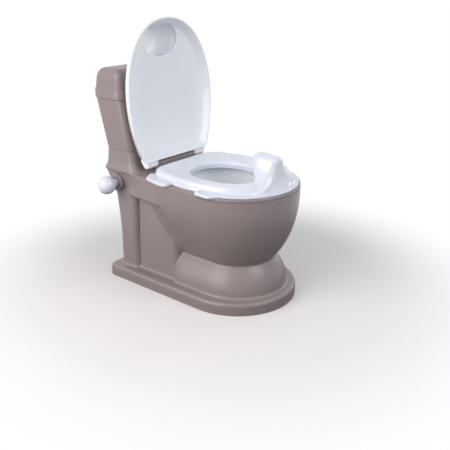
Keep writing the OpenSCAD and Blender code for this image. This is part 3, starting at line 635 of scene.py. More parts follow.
@dataclass
class BodyShell:
    """The taupe body: plinth, pedestal, bowl, web, column, deck and the cistern's base."""

    sizes: ChairSizes
    pedestal_w: float = 190.0
    pedestal_close_z: float = 110.0
    web_w: float = 175.0
    band_z: float = 178.0
    plinth_edge_r: float = 6.0
    plinth_corner_r: float = 14.0
    groove_z: float = 218.0
    groove_depth: float = 1.2
    voxel: float = 2.07
    web_back: float = 79.0
    bush_bore: float = 20.6
    pot_opening: Row = (83.5, 93.5)

    def bowl_at(self, z: float) -> float:
        """Half width of the bowl at a height."""
        s = self.sizes
        r = s.bowl_w / 2
        return r if z > s.belly_z else r * math.sqrt(max(1 - ((s.belly_z - z) / s.bowl_depth) ** 2, 0))

    def pedestal_at(self, z: float) -> float:
        """Half width of the pedestal's dome at a height."""
        s = self.sizes
        share = max(z - s.plinth_h, 0) / (self.pedestal_close_z - s.plinth_h)
        return self.pedestal_w / 2 * math.sqrt(max(1 - share**2, 0))

    def column_back(self, z: float) -> float:
        """Rear face of the column and of the cistern's base."""
        b = self.sizes.back
        rows = [
            (0, b - 19), (93, b - 19), (132, b - 15.5), (174, b - 10), (190, b - 1), (208, b + 11),
            (222, b + 17), (231, b + 11.5), (self.sizes.tank_z, self.sizes.tank_back),
        ]
        return table(z, rows)

    def plinth(self, inset: float) -> bpy.types.Object:
        """Plinth with its rounded upper edge, or its hollow."""
        s, top, r = self.sizes, self.sizes.plinth_h - inset, self.plinth_edge_r
        mid, hw = s.plinth_w / 2 - s.back, s.plinth_w / 2 - inset
        rings = [d_ring(-8, hw, mid, s.back - inset, self.plinth_corner_r)]
        for a in span(0, 90, 9):
            d, h = r * (1 - math.cos(math.radians(a))), r * (1 - math.sin(math.radians(a)))
            rings.append(d_ring(top - h, hw - d, mid, s.back - inset - d, self.plinth_corner_r))
        return loft("plinth", rings)

    def pedestal(self, inset: float) -> bpy.types.Object:
        """Domed pedestal under the bowl, or its hollow."""
        s, hw = self.sizes, self.pedestal_w / 2
        rings = [d_ring(s.plinth_h - 7, hw - inset, s.bowl_y, s.bowl_y + hw, 24)]
        rings += [
            d_ring(z, self.pedestal_at(z) - inset, s.bowl_y, s.bowl_y + hw, 24)
            for z in span(s.plinth_h, s.plinth_h + 62, 24)
        ]
        return loft("pedestal", rings)

    def bowl_ring(self, z: float, inset: float) -> Ring:
        """Ring of the bowl: a half circle in front, and sides that slant in to the web behind."""
        s = self.sizes
        r = self.bowl_at(z) - inset
        front = s.bowl_y + 50 + 0.44 * (z - 81)
        back = s.bowl_y + self.web_back + 0.77 * (z - 81)
        tail = min(self.web_w / 2 - 1 - inset, r - 1)
        side = [(r, front - inset), (r - 0.35 * (r - tail), front + 12 - inset), (tail, back - inset)]
        flat = arc(0, s.bowl_y, r, 180, 360, 96) + side + [(-x, y) for x, y in reversed(side)]
        return [(x, y, z) for x, y in flat]

    def bowl(self, inset: float) -> bpy.types.Object:
        """Round-bottomed bowl, or its hollow."""
        s = self.sizes
        bottom, top = s.belly_z - s.bowl_depth + 29, s.rim_z - inset
        return loft("bowl", [self.bowl_ring(bottom + (top - bottom) * h**1.4, inset) for h in span(0, 1, 40)])

    def web(self, inset: float) -> bpy.types.Object:
        """Recessed web between bowl and column, or its hollow."""
        s, hw = self.sizes, self.web_w / 2
        front = s.bowl_y + self.web_back
        return loft("web", [
            box_ring(s.plinth_h - 6, hw + 2 - inset, front + inset, s.column_front + 20, 14),
            box_ring(self.band_z + 10, hw - 3 - inset, front + inset, s.column_front + 20, 14),
        ])

    def column(self, inset: float) -> bpy.types.Object:
        """Rear column, or its hollow."""
        s = self.sizes
        return loft("column", [
            box_ring(
                z, s.column_w / 2 - inset,
                s.column_front + inset, self.column_back(z) - inset, s.corner_r - inset,
            )
            for z in [s.plinth_h - 6, 93, 132, 174, 190, 208, s.rim_z - 2]
        ])

    def band(self, inset: float) -> bpy.types.Object:
        """Side band of the deck, tapering from the bowl to the column, or its hollow."""
        s = self.sizes
        w, c = s.column_w / 2 - inset, s.corner_r - inset

        def ring(z: float, extra: float) -> Ring:
            """One ring of the band."""
            b, r = self.column_back(z) - inset - extra, s.bowl_w / 2 - inset - extra
            f = self.bowl_at(z) - inset - extra - 0.4
            side = [(r - 3, s.bowl_y + 85), (r - 10, s.column_front - 12), (w - extra, s.column_front + 20)]
            flat = (
                arc(0, s.bowl_y, f, 180, 360, 96) + side
                + arc(w - extra - c, b - c, c, 0, 90, 8) + arc(c + extra - w, b - c, c, 90, 180, 8)
                + [(-x, y) for x, y in reversed(side)]
            )
            return [(x, y, z) for x, y in flat]

        low, top = self.band_z + inset, s.rim_z - inset
        return loft("band", [ring(z, 0) for z in span(low, top, 12)])

    def cistern_base(self, inset: float) -> bpy.types.Object:
        """Base of the cistern, which sweeps down into the deck, or its hollow."""
        s, c = self.sizes, self.sizes.column_front
        front = [(s.rim_z, c - 11.5), (s.rim_z + 1, c - 7), (s.rim_z + 4, c - 3), (s.rim_z + 10, c + 1),
                 (s.rim_z + 22, c + 5.5), (s.tank_z, c + 9)]
        side = [(s.rim_z, s.column_w / 2 + 4), (s.rim_z + 12, s.column_w / 2), (s.tank_z, s.tank_w / 2)]

        def ring(z: float, level: float) -> Ring:
            """One ring of the base."""
            return box_ring(
                z, table(level, side) - inset, table(level, front) + inset,
                self.column_back(level) - inset, s.corner_r - inset,
            )

        levels = sorted({f[0] for f in front} | {g[0] for g in side} | {222.0, 231.0})
        levels = [z for z in levels if z >= s.rim_z]
        ends = ring(s.rim_z - 4, s.rim_z), ring(s.tank_z + 6, s.tank_z)
        return loft("cistern_base", [ends[0], *[ring(z, z) for z in levels], ends[1]])

    def whole(self, inset: float) -> bpy.types.Object:
        """All forms of the body in one solid, or its hollow."""
        forms = (self.bowl, self.plinth, self.pedestal, self.web, self.column, self.band, self.cistern_base)
        shell, *others = [form(inset) for form in forms]
        join_solids(shell, others)
        return shell

    def make(self, finishes: Finishes) -> None:
        """Mould the body and cut its hollow, opening and groove."""
        s = self.sizes
        shell = self.whole(0)
        mould(shell, self.voxel, 5)
        side = -s.column_w / 2
        cutters = [
            block("floor_cut", (-FAR, -FAR, -60), (FAR, FAR, 0)),
            block("seam_cut", (-FAR, -FAR, s.tank_z), (FAR, FAR, s.tank_z + 60)),
            self.whole(s.wall),
            loft("pot_opening", [oval_ring(z, *self.pot_opening, s.pot_y) for z in (188.0, 240.0)]),
            self.groove(),
            self.seam(-1),
            self.seam(1),
            rod(
                "bush_bore", (side - 10, s.knob_y, s.knob_z), (side + 10, s.knob_y, s.knob_z), self.bush_bore
            ),
        ]
        join_solids(shell, cutters, cut=True)
        shell.name = "body_moulding"
        shade(shell, SOFT_EDGE)
        put(shell, Body.BODY, Slot.TAUPE, finishes, ["body_shell"])

    def seam(self, side: int) -> bpy.types.Object:
        """Narrow seam where the web meets the column."""
        y, w = self.sizes.column_front, self.web_w / 2
        ends = ((self.sizes.plinth_h + 5, w + 1.7), (self.band_z - 3, w - 2.7))
        corners = ((-1.3, -0.6), (-1.3, 0.2), (8, -1.6), (8, -0.2))
        return wrapped("web_seam", [(side * (out + dx), y + dy, z) for z, out in ends for dx, dy in corners])

    def groove(self) -> bpy.types.Object:
        """Shadow groove under the rim's bead, round the front of the bowl."""
        s = self.sizes
        r = s.bowl_w / 2
        inner = arc(0, s.bowl_y, r - self.groove_depth, 178, 362, 96)
        outer = arc(0, s.bowl_y, r + 2, 362, 178, 96)
        return prism("groove", inner + outer, self.groove_z, self.groove_z + 1.4)


# ---------------------------------------------------------------- cistern


@dataclass
class Cistern:
    """Leaning cistern on the body, and its lid with a lip."""

    sizes: ChairSizes
    flare: float = 8.0
    lean: float = 21.0
    lid_h: float = 56.0
    lid_r: float = 18.0
    lip: float = 2.0
    lip_h: float = 17.0
    plug_h: float = 4.0

    @property
    def front_lean(self) -> float:
        """Lean of the front wall over the cistern's height."""
        return self.lean - 6

    def ring(self, share: float, inset: float, dz: float = 0.0) -> Ring:
        """Section of the cistern at a share of its height."""
        s = self.sizes
        return box_ring(
            s.tank_z + share * s.tank_h + dz, s.tank_w / 2 + share * self.flare / 2 - inset,
            s.tank_front + share * self.front_lean + inset, s.tank_back + share * self.lean - inset,
            max(s.corner_r - inset, 2), 12,
        )

    def lid_ring(self, dz: float, inset: float) -> Ring:
        """Section of the cistern's lid at a height over the seam."""
        s = self.sizes
        sink = min(dz, 0) / s.tank_h
        return box_ring(
            s.tank_z + s.tank_h + dz, (s.tank_w + self.flare) / 2 + self.lip - inset + sink * self.flare / 2,
            s.tank_front + self.front_lean * (1 + sink) - self.lip + inset,
            s.tank_back + self.lean * (1 + sink) + self.lip - inset - 0.2 * max(dz - self.lip_h, 0),
            max(s.corner_r + self.lip - inset, 2), 12,
        )

    def make(self, finishes: Finishes) -> None:
        """Make the cistern and its lid."""
        w = self.sizes.wall
        plug = w + 0.3
        shell = loft("cistern_shell", [
            self.ring(0, plug, -self.plug_h), self.ring(0, plug), self.ring(0, 0.5), self.ring(0, 0, 0.5),
            self.ring(1, 0, -0.8), self.ring(1, 0.5), self.ring(1, w), self.ring(w / self.sizes.tank_h, w),
        ])
        shade(shell, FIRM_EDGE)
        put(shell, Body.BODY, Slot.TAUPE, finishes, ["tank_shell"])
        r, rise = self.lid_r, self.lid_h - self.lid_r
        plug = w + 0.6
        rings = [self.lid_ring(self.lid_h - w, r), self.lid_ring(rise + r / 2, self.lip + w + 3)]
        rings += [self.lid_ring(0, self.lip + plug + w), self.lid_ring(-self.plug_h, self.lip + plug + w),
                  self.lid_ring(-self.plug_h, self.lip + plug), self.lid_ring(0, self.lip + plug)]
        top = self.lip_h
        lip = [(0, 0.6), (0.6, 0), (top - 0.8, 0), (top, 0.35), (top + 0.5, 1.0), (top + 1, 1.4)]
        rings += [self.lid_ring(dz, inset) for dz, inset in lip]
        for a in span(0, 90, 13):
            t = math.radians(a)
            rings.append(self.lid_ring(rise + r * math.sin(t), 1.5 + (r - 1.5) * (1 - math.cos(t))))
        lid = loft("cistern_lid_cap", rings)
        shade(lid, FIRM_EDGE)
        put(lid, Body.CISTERN_LID, Slot.TAUPE, finishes, ["tank_lid"])


# ---------------------------------------------------------------- toilet lid


@dataclass
class ToiletLid:
    """White lid with a skirt, a domed dish and two hinge ears, drawn lying down and stood up at its hinge."""

    sizes: ChairSizes
    length: float = 265.0
    width: float = 224.6
    wide_at: float = 116.5
    root_w: float = 174.0
    skirt: float = 19.0
    crown: float = 7.0
    wall: float = 2.5
    lean: float = 4.1
    pin_drop: float = 3.0
    root: float = 4.0
    root_r: float = 6.0
    draft: float = 6.0
    rim_w: float = 4.9
    ear_gap: float = 105.0
    ear_w: float = 30.0
    ear_r: float = 5.8
    dome_wall: float = 1.8
    dish_s: float = 226.8
    dish_w: float = 90.0
    dish_len: float = 66.0
    dish_floor: float = 292.0
    dish_lean: float = 4.5
    pin_d: float = 5.16
    dimple_d: float = 7.0
    mid: float = 125.0
    fine: int = 4

    @property
    def back_w(self) -> float:
        """Height of the lid's back at its skirt."""
        return self.rim_w - self.skirt

    def half(self, s: float) -> float:
        """Half width of the outline at a distance from the hinge line."""
        if s > self.wide_at:
            return (
                self.width / 2
                * max(1 - ((s - self.wide_at) / (self.length - self.wide_at)) ** 2.2, 0) ** (1 / 2.2)
            )
        return self.width / 2 - (self.width - self.root_w) / 2 * ((self.wide_at - s) / self.wide_at) ** 1.9

    def egg(self, root: float, r: float, gap: float) -> list[Row]:
        """Outline from the root corner round the tip and back, as x and s pairs."""
        fine, reach = self.fine, self.length - gap
        corner = [
            (
                self.half(root + r * (1 - math.cos(a))) - gap - r * (1 - math.sin(a)),
                root + r * (1 - math.cos(a)),
            )
            for a in [math.radians(v) for v in span(0, 90, 4 * fine)]
        ]
        side = [(self.half(s) - gap, s) for s in span(root + r, self.wide_at, 6 * fine)[1:]]
        tip = []
        for k in range(1, 12 * fine):
            t = math.sin(math.pi / 2 * k / (12 * fine))
            x = (self.width / 2 - gap) * (1 - t**2.2) ** (1 / 2.2)
            tip.append((x, self.wide_at + (reach - self.wide_at) * t))
        half = corner + side + tip
        edge = [(half[0][0] * v, root) for v in span(-1, 1, 6 * fine)[1:-1]]
        return half + [(0.0, reach)] + [(-x, s) for x, s in reversed(half)] + edge

    def ring(self, share: float, w: float, gap: float = 0.0) -> Ring:
        """Ring of the lid's skin, drawn towards its middle by a share."""
        return [
            (x * share, self.pin_drop + self.mid + (s - self.mid) * share, w)
            for x, s in self.egg(self.root + gap, self.root_r, gap)
        ]

    def crown_at(self, share: float) -> float:
        """Height of the lid's crowned back."""
        return self.back_w - self.crown * (1 - share * share)

    def stood(self) -> Matrix:
        """Matrix that stands the lid up at its hinge, in the open place."""
        s = self.sizes
        return (
            Matrix.Translation((0, s.hinge_y, s.hinge_z))
            @ Matrix.Rotation(math.radians(90 - self.lean), 4, "X")
        )

    def dish(self, grow: float, first: float) -> bpy.types.Object:
        """Domed dish that clears the splash guard, grown by the wall for its outside."""
        across = [(-0.3, 0.86), (-0.1, 0.94), (0.0, 0.98), (0.06, 0.96), (0.14, 0.9), (0.35, 0.8),
                  (0.6, 0.67), (0.83, 0.53), (0.95, 0.41), (1.0, 0.24)]
        along = [(-0.3, 0.85), (-0.1, 0.91), (0.0, 0.96), (0.12, 0.95), (0.35, 0.91), (0.6, 0.87),
                 (0.83, 0.8), (0.95, 0.7), (1.0, 0.4)]
        top_w = self.back_w - self.crown + self.wall
        depth = self.dish_floor - self.sizes.hinge_z + top_w
        rings = []
        for p in span(first, 1.0, 28):
            a, b = self.dish_w / 2 * eased(p, across) + grow, self.dish_len / 2 * eased(p, along) + grow
            inner = max(p, 0)
            ring = oval_ring(top_w - p * depth - grow * inner**2, a, b, self.dish_s - self.dish_lean * inner)
            rings.append([(x, self.pin_drop + y, z) for x, y, z in ring])
        return loft("dish", rings)

    def ears(self) -> list[bpy.types.Object]:
        """Hinge ears that grow out of the skirt's root."""
        made = []
        low, root = self.ear_gap / 2, self.pin_drop + self.root
        for side in (-1, 1):
            points = []
            for x, k in (
                (0.0, 0.9), (1.2, 1.0), (self.ear_w - 5, 1.0), (self.ear_w - 2, 0.94), (self.ear_w, 0.8),
            ):
                flat = arc(0, 0, self.ear_r * k, 0, 360, 40)
                flat += [(root + 2, 4.0 * k), (root + 2, -12.0)]
                flat += [(root + 7, self.back_w + 3), (root + 7, self.back_w + 8)]
                points += [(side * (low + x), y, z) for y, z in flat]
            made.append(wrapped("ear", points))
        return made

    def make(self, finishes: Finishes) -> None:
        """Mould the lid and stand it up."""
        back = 1 - 2 * self.draft / self.width
        shares = [0.3, 0.45, 0.6, 0.72, 0.82, 0.9, 0.95]
        outer = loft("toilet_lid_moulding", (
            [self.ring(k * back, self.crown_at(k)) for k in shares]
            + [self.ring(0.975 * back, self.back_w + 0.9), self.ring(0.992 * back, self.back_w + 2.6),
               self.ring(back, self.back_w + 5.5), self.ring(1, self.rim_w), self.ring(1, self.rim_w + 3)]
        ))
        join_solids(outer, [self.dish(self.dome_wall, -0.25), *self.ears()])
        mould(outer, 1.3, 4)
        inner = loft("lid_inside", (
            [self.ring(k * back, self.crown_at(k) + self.wall, self.wall) for k in shares[:-1]]
            + [self.ring(0.965 * back, self.back_w + self.wall + 0.6, self.wall),
               self.ring(0.985 * back, self.back_w + self.wall + 1.6, self.wall),
               self.ring(back, self.back_w + 6.5, self.wall), self.ring(1, self.rim_w, self.wall),
               self.ring(1, self.rim_w + 12, self.wall)]
        ))
        join_solids(inner, [self.dish(0, -0.3)])
        mould(inner, 1.3, 4)
        g, r = self.ear_gap / 2, self.ear_r
        cutters = [inner, block("rim_cut", (-FAR, 8.2, self.rim_w), (FAR, FAR, 60))]
        cutters += [rod("pin_bore", (x, 0, 0), (x + 20, 0, 0), self.pin_d) for x in (g - 1, -g - 19)]
        for side in (-1, 1):
            x = side * (g + self.ear_w - self.dimple_d)
            cutters.append(rod("ear_dimple", (x, 0.5, r - 1.2), (x, 0.5, r + 8), self.dimple_d))
        join_solids(outer, cutters, cut=True)
        place(outer, self.stood())
        shade(outer, SOFT_EDGE)
        # The lid takes the white painted lighter, as painted light on its shaded inside.
        put(outer, Body.LID, Slot.WHITE, finishes, ["toilet_lid"], painted_light=True)


# ---------------------------------------------------------------- seat


@dataclass
class SeatRing:
    """White seat with its flange, side tabs, rear ears and splash guard."""

    sizes: ChairSizes
    lid: ToiletLid
    height: float = 16.0
    gap: float = 8.0
    hole_w: float = 122.0
    hole_len: float = 148.0
    wall: float = 3.0
    flange_t: float = 3.5
    guard_w: float = 88.0
    guard_len: float = 54.0
    guard_h: float = 61.0
    guard_slope: float = 2.0
    guard_back: float = 67.0
    tab_span: float = 242.0
    ear_span: float = 246.0
    dimple_d: float = 6.0

    def edge(self) -> list[Row]:
        """Outline of the raised seat."""
        s = self.sizes
        return [(x, s.hinge_y - self.lid.pin_drop - v) for x, v in reversed(self.lid.egg(14, 24, self.gap))]

    def hole(self, p: Row) -> Row:
        """Edge of the hole in the direction of an outline point."""
        d = (p[0], p[1] - self.sizes.pot_y)
        n = math.hypot(*d)
        a, b = abs(d[0]) / n / (self.hole_w / 2), abs(d[1]) / n / (self.hole_len / 2)
        r = 1 / (a**2.2 + b**2.2) ** (1 / 2.2)
        return (d[0] / n * r, self.sizes.pot_y + d[1] / n * r)

    def ring_at(self, share: float, h: float) -> Ring:
        """Ring between the hole and the outline."""
        ring = []
        for p in self.edge():
            q = self.hole(p)
            ring.append((q[0] + (p[0] - q[0]) * share, q[1] + (p[1] - q[1]) * share, self.sizes.rim_z + h))
        return ring

    def top(self) -> bpy.types.Object:
        """Rounded top of the seat, solid below."""
        c = self.height
        section = [
            (1, 0), (1, 4), (1, 6.5), (0.993, c - 7), (0.98, c - 4.8), (0.96, c - 3), (0.93, c - 1.7),
            (0.89, c - 0.8), (0.84, c - 0.2), (0.78, c), (0.7, c - 0.25), (0.6, c - 0.8), (0.5, c - 1.4),
            (0.4, c - 2.1), (0.3, c - 2.9), (0.2, c - 3.7), (0.12, c - 4.6), (0.06, c - 5.8), (0.02, c - 7.4),
            (0, c - 9.5), (0, c - 12), (0, -3), (0.06, -3), (0.06, 0),
        ]
        return loft("seat_top", [self.ring_at(k, h) for k, h in section], closed=True)

    def underside(self) -> bpy.types.Object:
        """Hollow under the seat's top."""
        c, w = self.height, self.wall
        section = [
            (0.935, -2), (0.93, 4), (0.915, c - 7.5), (0.86, c - 1 - w), (0.78, c - w), (0.6, c - 1 - w),
            (0.35, c - 2.6 - w), (0.16, c - 4.4 - w), (0.07, c - 9), (0.065, -2),
        ]
        return loft("seat_underside", [self.ring_at(k, h) for k, h in section], closed=True)

    def guard(self, inset: float) -> bpy.types.Object:
        """Splash guard with a flared foot, higher behind than in front, or its hollow."""
        s = self.sizes
        across = [(-0.12, 1.4), (0.03, 1.25), (0.09, 1.12), (0.16, 0.99), (0.26, 0.83), (0.38, 0.69),
                  (0.56, 0.54), (0.75, 0.43), (0.88, 0.36), (0.96, 0.27), (1.0, 0.14)]
        along = [(-0.12, 1.0), (0.09, 0.96), (0.26, 0.94), (0.38, 0.95), (0.56, 0.98), (0.75, 0.99),
                 (0.88, 0.97), (0.96, 0.89), (1.0, 0.66)]
        middle = [(-0.12, -3.0), (0.09, -3.0), (0.26, -1.5), (0.38, 0.0), (0.56, 1.5), (0.75, 2.6),
                  (1.0, 2.6)]
        taper = [(-0.12, 0.3), (0.09, 0.4), (0.16, 0.42), (0.26, 0.38), (0.38, 0.25), (0.56, 0.1),
                 (0.75, 0.0), (1, 0)]
        rise = self.guard_h - 6 - inset - self.guard_slope / 2
        rings = []
        for p in span(-0.12 if inset else -0.04, 1.0, 30):
            a = self.guard_w / 2 * eased(p, across) - inset
            b = self.guard_len / 2 * eased(p, along) - inset
            narrow, centre = eased(p, taper), s.bowl_y - self.guard_back + eased(p, middle)
            rings.append([
                (x * (1 - narrow * y / b), centre + y,
                 s.rim_z + 6 + p * rise + max(p, 0) * self.guard_slope * 2 * y / self.guard_len)
                for x, y, _ in oval_ring(0, a, b, 0, 2.2 + 1.3 * max(p, 0))
            ])
        return loft("guard", rings)

    def plate(self, name: str, outline: Sequence[Row]) -> bpy.types.Object:
        """Flat part of the flange."""
        return prism(name, outline, self.sizes.rim_z, self.sizes.rim_z + self.flange_t)

    def lobe(
        self, name: str, side: int, posts: Sequence[tuple[float, float, float, float]]
    ) -> bpy.types.Object:
        """Lobe of the flange, a plate with a sloping, softly rounded top.

        Args:
            name: Name of the new object.
            side: -1 on the left and 1 on the right.
            posts: Distance out, distance behind the bowl's centre, radius and height of each post.

        Returns:
            The lobe.
        """
        s = self.sizes
        points = []
        for out, y, r, h in posts:
            for z, inset in ((0.0, 0.3), (0.4, 0.0), (h - 1.4, 0.0), (h - 0.4, 0.4), (h, 1.4)):
                points += [
                    (x, v, s.rim_z + z) for x, v in arc(side * out, s.bowl_y + y, r - inset, 0, 360, 40)
                ]
        return wrapped(name, points)

    def flange(self) -> list[bpy.types.Object]:
        """Flange round the front, side tabs and rear ears."""
        s = self.sizes
        r = s.bowl_w / 2 - 3
        front = arc(0, s.bowl_y, r, 190, 350, 96)
        middle = [(x * 1.015, y) for x, y in self.edge()]
        made = [self.plate("front_flange", front), self.plate("middle_flange", middle)]
        t, e = self.tab_span / 2, self.ear_span / 2
        tab = [(t - 5, 1, 5, 6.6), (t - 8, -22, 8, 4.5), (t - 30, -30, 16, 5), (t - 30, 0, 6, 6.4)]
        ear = [(e - 9, 81, 9, 6.6), (e - 12, 96, 10, 5.5), (e - 23, 122, 14, 4.5), (e - 36, 137, 8, 4.5),
               (e - 36, 78, 6, 6.8)]
        for side in (-1, 1):
            made += [self.lobe("tab", side, tab), self.lobe("ear", side, ear)]
        return made

    def make(self, finishes: Finishes) -> None:
        """Mould the seat."""
        s = self.sizes
        seat = self.top()
        join_solids(seat, [*self.flange(), self.guard(0)])
        well = loft("hole_cut", [self.ring_at(0.0, h) for h in (-6, self.flange_t + 0.7)])
        join_solids(seat, [well], cut=True)
        mould(seat, 1.2, 2)
        out, y, low = self.tab_span / 2 - 8, s.bowl_y - 3, s.rim_z + 4.6
        dimples = [rod("tab_dimple", (x, y, low), (x, y, low + 9), self.dimple_d) for x in (-out, out)]
        join_solids(seat, [self.underside(), self.guard(self.wall), *dimples], cut=True)
        shade(seat, SOFT_EDGE)
        seat.name = "seat_moulding"
        put(seat, Body.SEAT, Slot.WHITE, finishes, ["seat_ring"])


# ---------------------------------------------------------------- pot


@dataclass
class Pot:
    """Removable pot that hangs by its flange."""

    sizes: ChairSizes
    width: float = 160.0
    length: float = 180.0
    depth: float = 110.0
    wall: float = 2.5
    flange: float = 9.0

    def make(self, finishes: Finishes) -> None:
        """Loft the pot from its outer bottom over the flange and down inside."""
        s, a, b, w = self.sizes, self.width / 2, self.length / 2, self.wall
        low, top = s.rim_z - self.depth, s.rim_z + w
        rows = [(0, 0.6), (0.02, 0.68), (0.08, 0.76), (0.22, 0.84), (0.45, 0.91), (0.75, 0.97), (1, 1)]
        levels = [0, 0.01, 0.02, 0.05, 0.08, 0.15, 0.22, 0.33, 0.45, 0.6, 0.75, 0.88, 1]
        section = [(p, eased(p, rows)) for p in levels]
        rings = [oval_ring(low + p * (s.rim_z - low), a * k + w, b * k + w, s.pot_y) for p, k in section]
        f = self.flange
        lip = [(s.rim_z, f - 0.5), (s.rim_z + 0.5, f), (top - 0.7, f), (top - 0.2, f - 0.3), (top, f - 0.9),
               (top, 1.2), (top - 0.4, 0.4)]
        rings += [oval_ring(z, a + e, b + e, s.pot_y) for z, e in lip]
        for p, k in reversed(section):
            z = low + w + p * (s.rim_z - low) - (0.9 if p == 1 else 0)
            rings.append(oval_ring(z, a * k, b * k, s.pot_y))
        pot = loft("pot_moulding", rings)
        shade(pot, SOFT_EDGE)
        # The pot takes the white painted lighter, as painted light in its shaded hollow.
        put(pot, Body.POT, Slot.WHITE, finishes, ["pot"], painted_light=True)


# ---------------------------------------------------------------- flush knob


@dataclass
class FlushKnob:
    """Ball knob with its bush on the column's side."""

    sizes: ChairSizes
    ball_d: float = 35.0
    reach: float = 31.0
    shaft_d: float = 10.0
    neck_d: float = 16.0
    flange_d: float = 34.0
    barrel_d: float = 20.0
    flange_t: float = 8.0
    inner: float = 15.0

    def seated(self) -> Matrix:
        """Matrix that lays a turned piece on the knob's axis, with its z pointing inwards."""
        s = self.sizes
        return (
            Matrix.Translation((-s.column_w / 2, s.knob_y, s.knob_z))
            @ Matrix.Rotation(math.radians(90), 4, "Y")
        )

    def make(self, finishes: Finishes) -> None:
        """Turn the ball and the bush."""
        r, n, bore = self.ball_d / 2, self.neck_d / 2, self.shaft_d / 2
        foot, out = -self.flange_t - 0.3, -self.reach
        join = math.asin((n + 0.6) / r)
        turns = [math.radians(a) for a in span(0.05, 180 - math.degrees(join), 44)]
        ball = [(r * math.sin(a), out - r * math.cos(a)) for a in turns]
        profile = [*ball, (n + 0.2, out + r * math.cos(join) + 0.8), (n, foot - 1.2), (n - 0.4, foot - 0.3),
                   (n - 0.8, foot), (bore, foot), (bore, out - 4), (0.01, out - 4)]
        knob = lathe("knob_ball_turned", profile)
        place(knob, self.seated())
        shade(knob, SOFT_EDGE)
        put(knob, Body.KNOB, Slot.WHITE, finishes, ["knob_ball"])
        f, b, t, end = self.flange_d / 2, self.barrel_d / 2, self.flange_t, self.inner
        hole = bore + 0.08
        rim = [(f - 2 + 2 * math.sin(a), -t + 2 - 2 * math.cos(a)) for a in map(math.radians, span(0, 90, 8))]
        bush = lathe("bush_turned", [
            (hole, -t + 0.4), (hole + 0.4, -t), *rim, (f, 0), (b, 0),
            (b, end - 0.6), (b - 0.6, end), (hole, end),
        ])
        place(bush, self.seated())
        shade(bush, SOFT_EDGE)
        put(bush, Body.BODY, Slot.TAUPE, finishes, ["shaft_bush"])


# ---------------------------------------------------------------- screws and pads


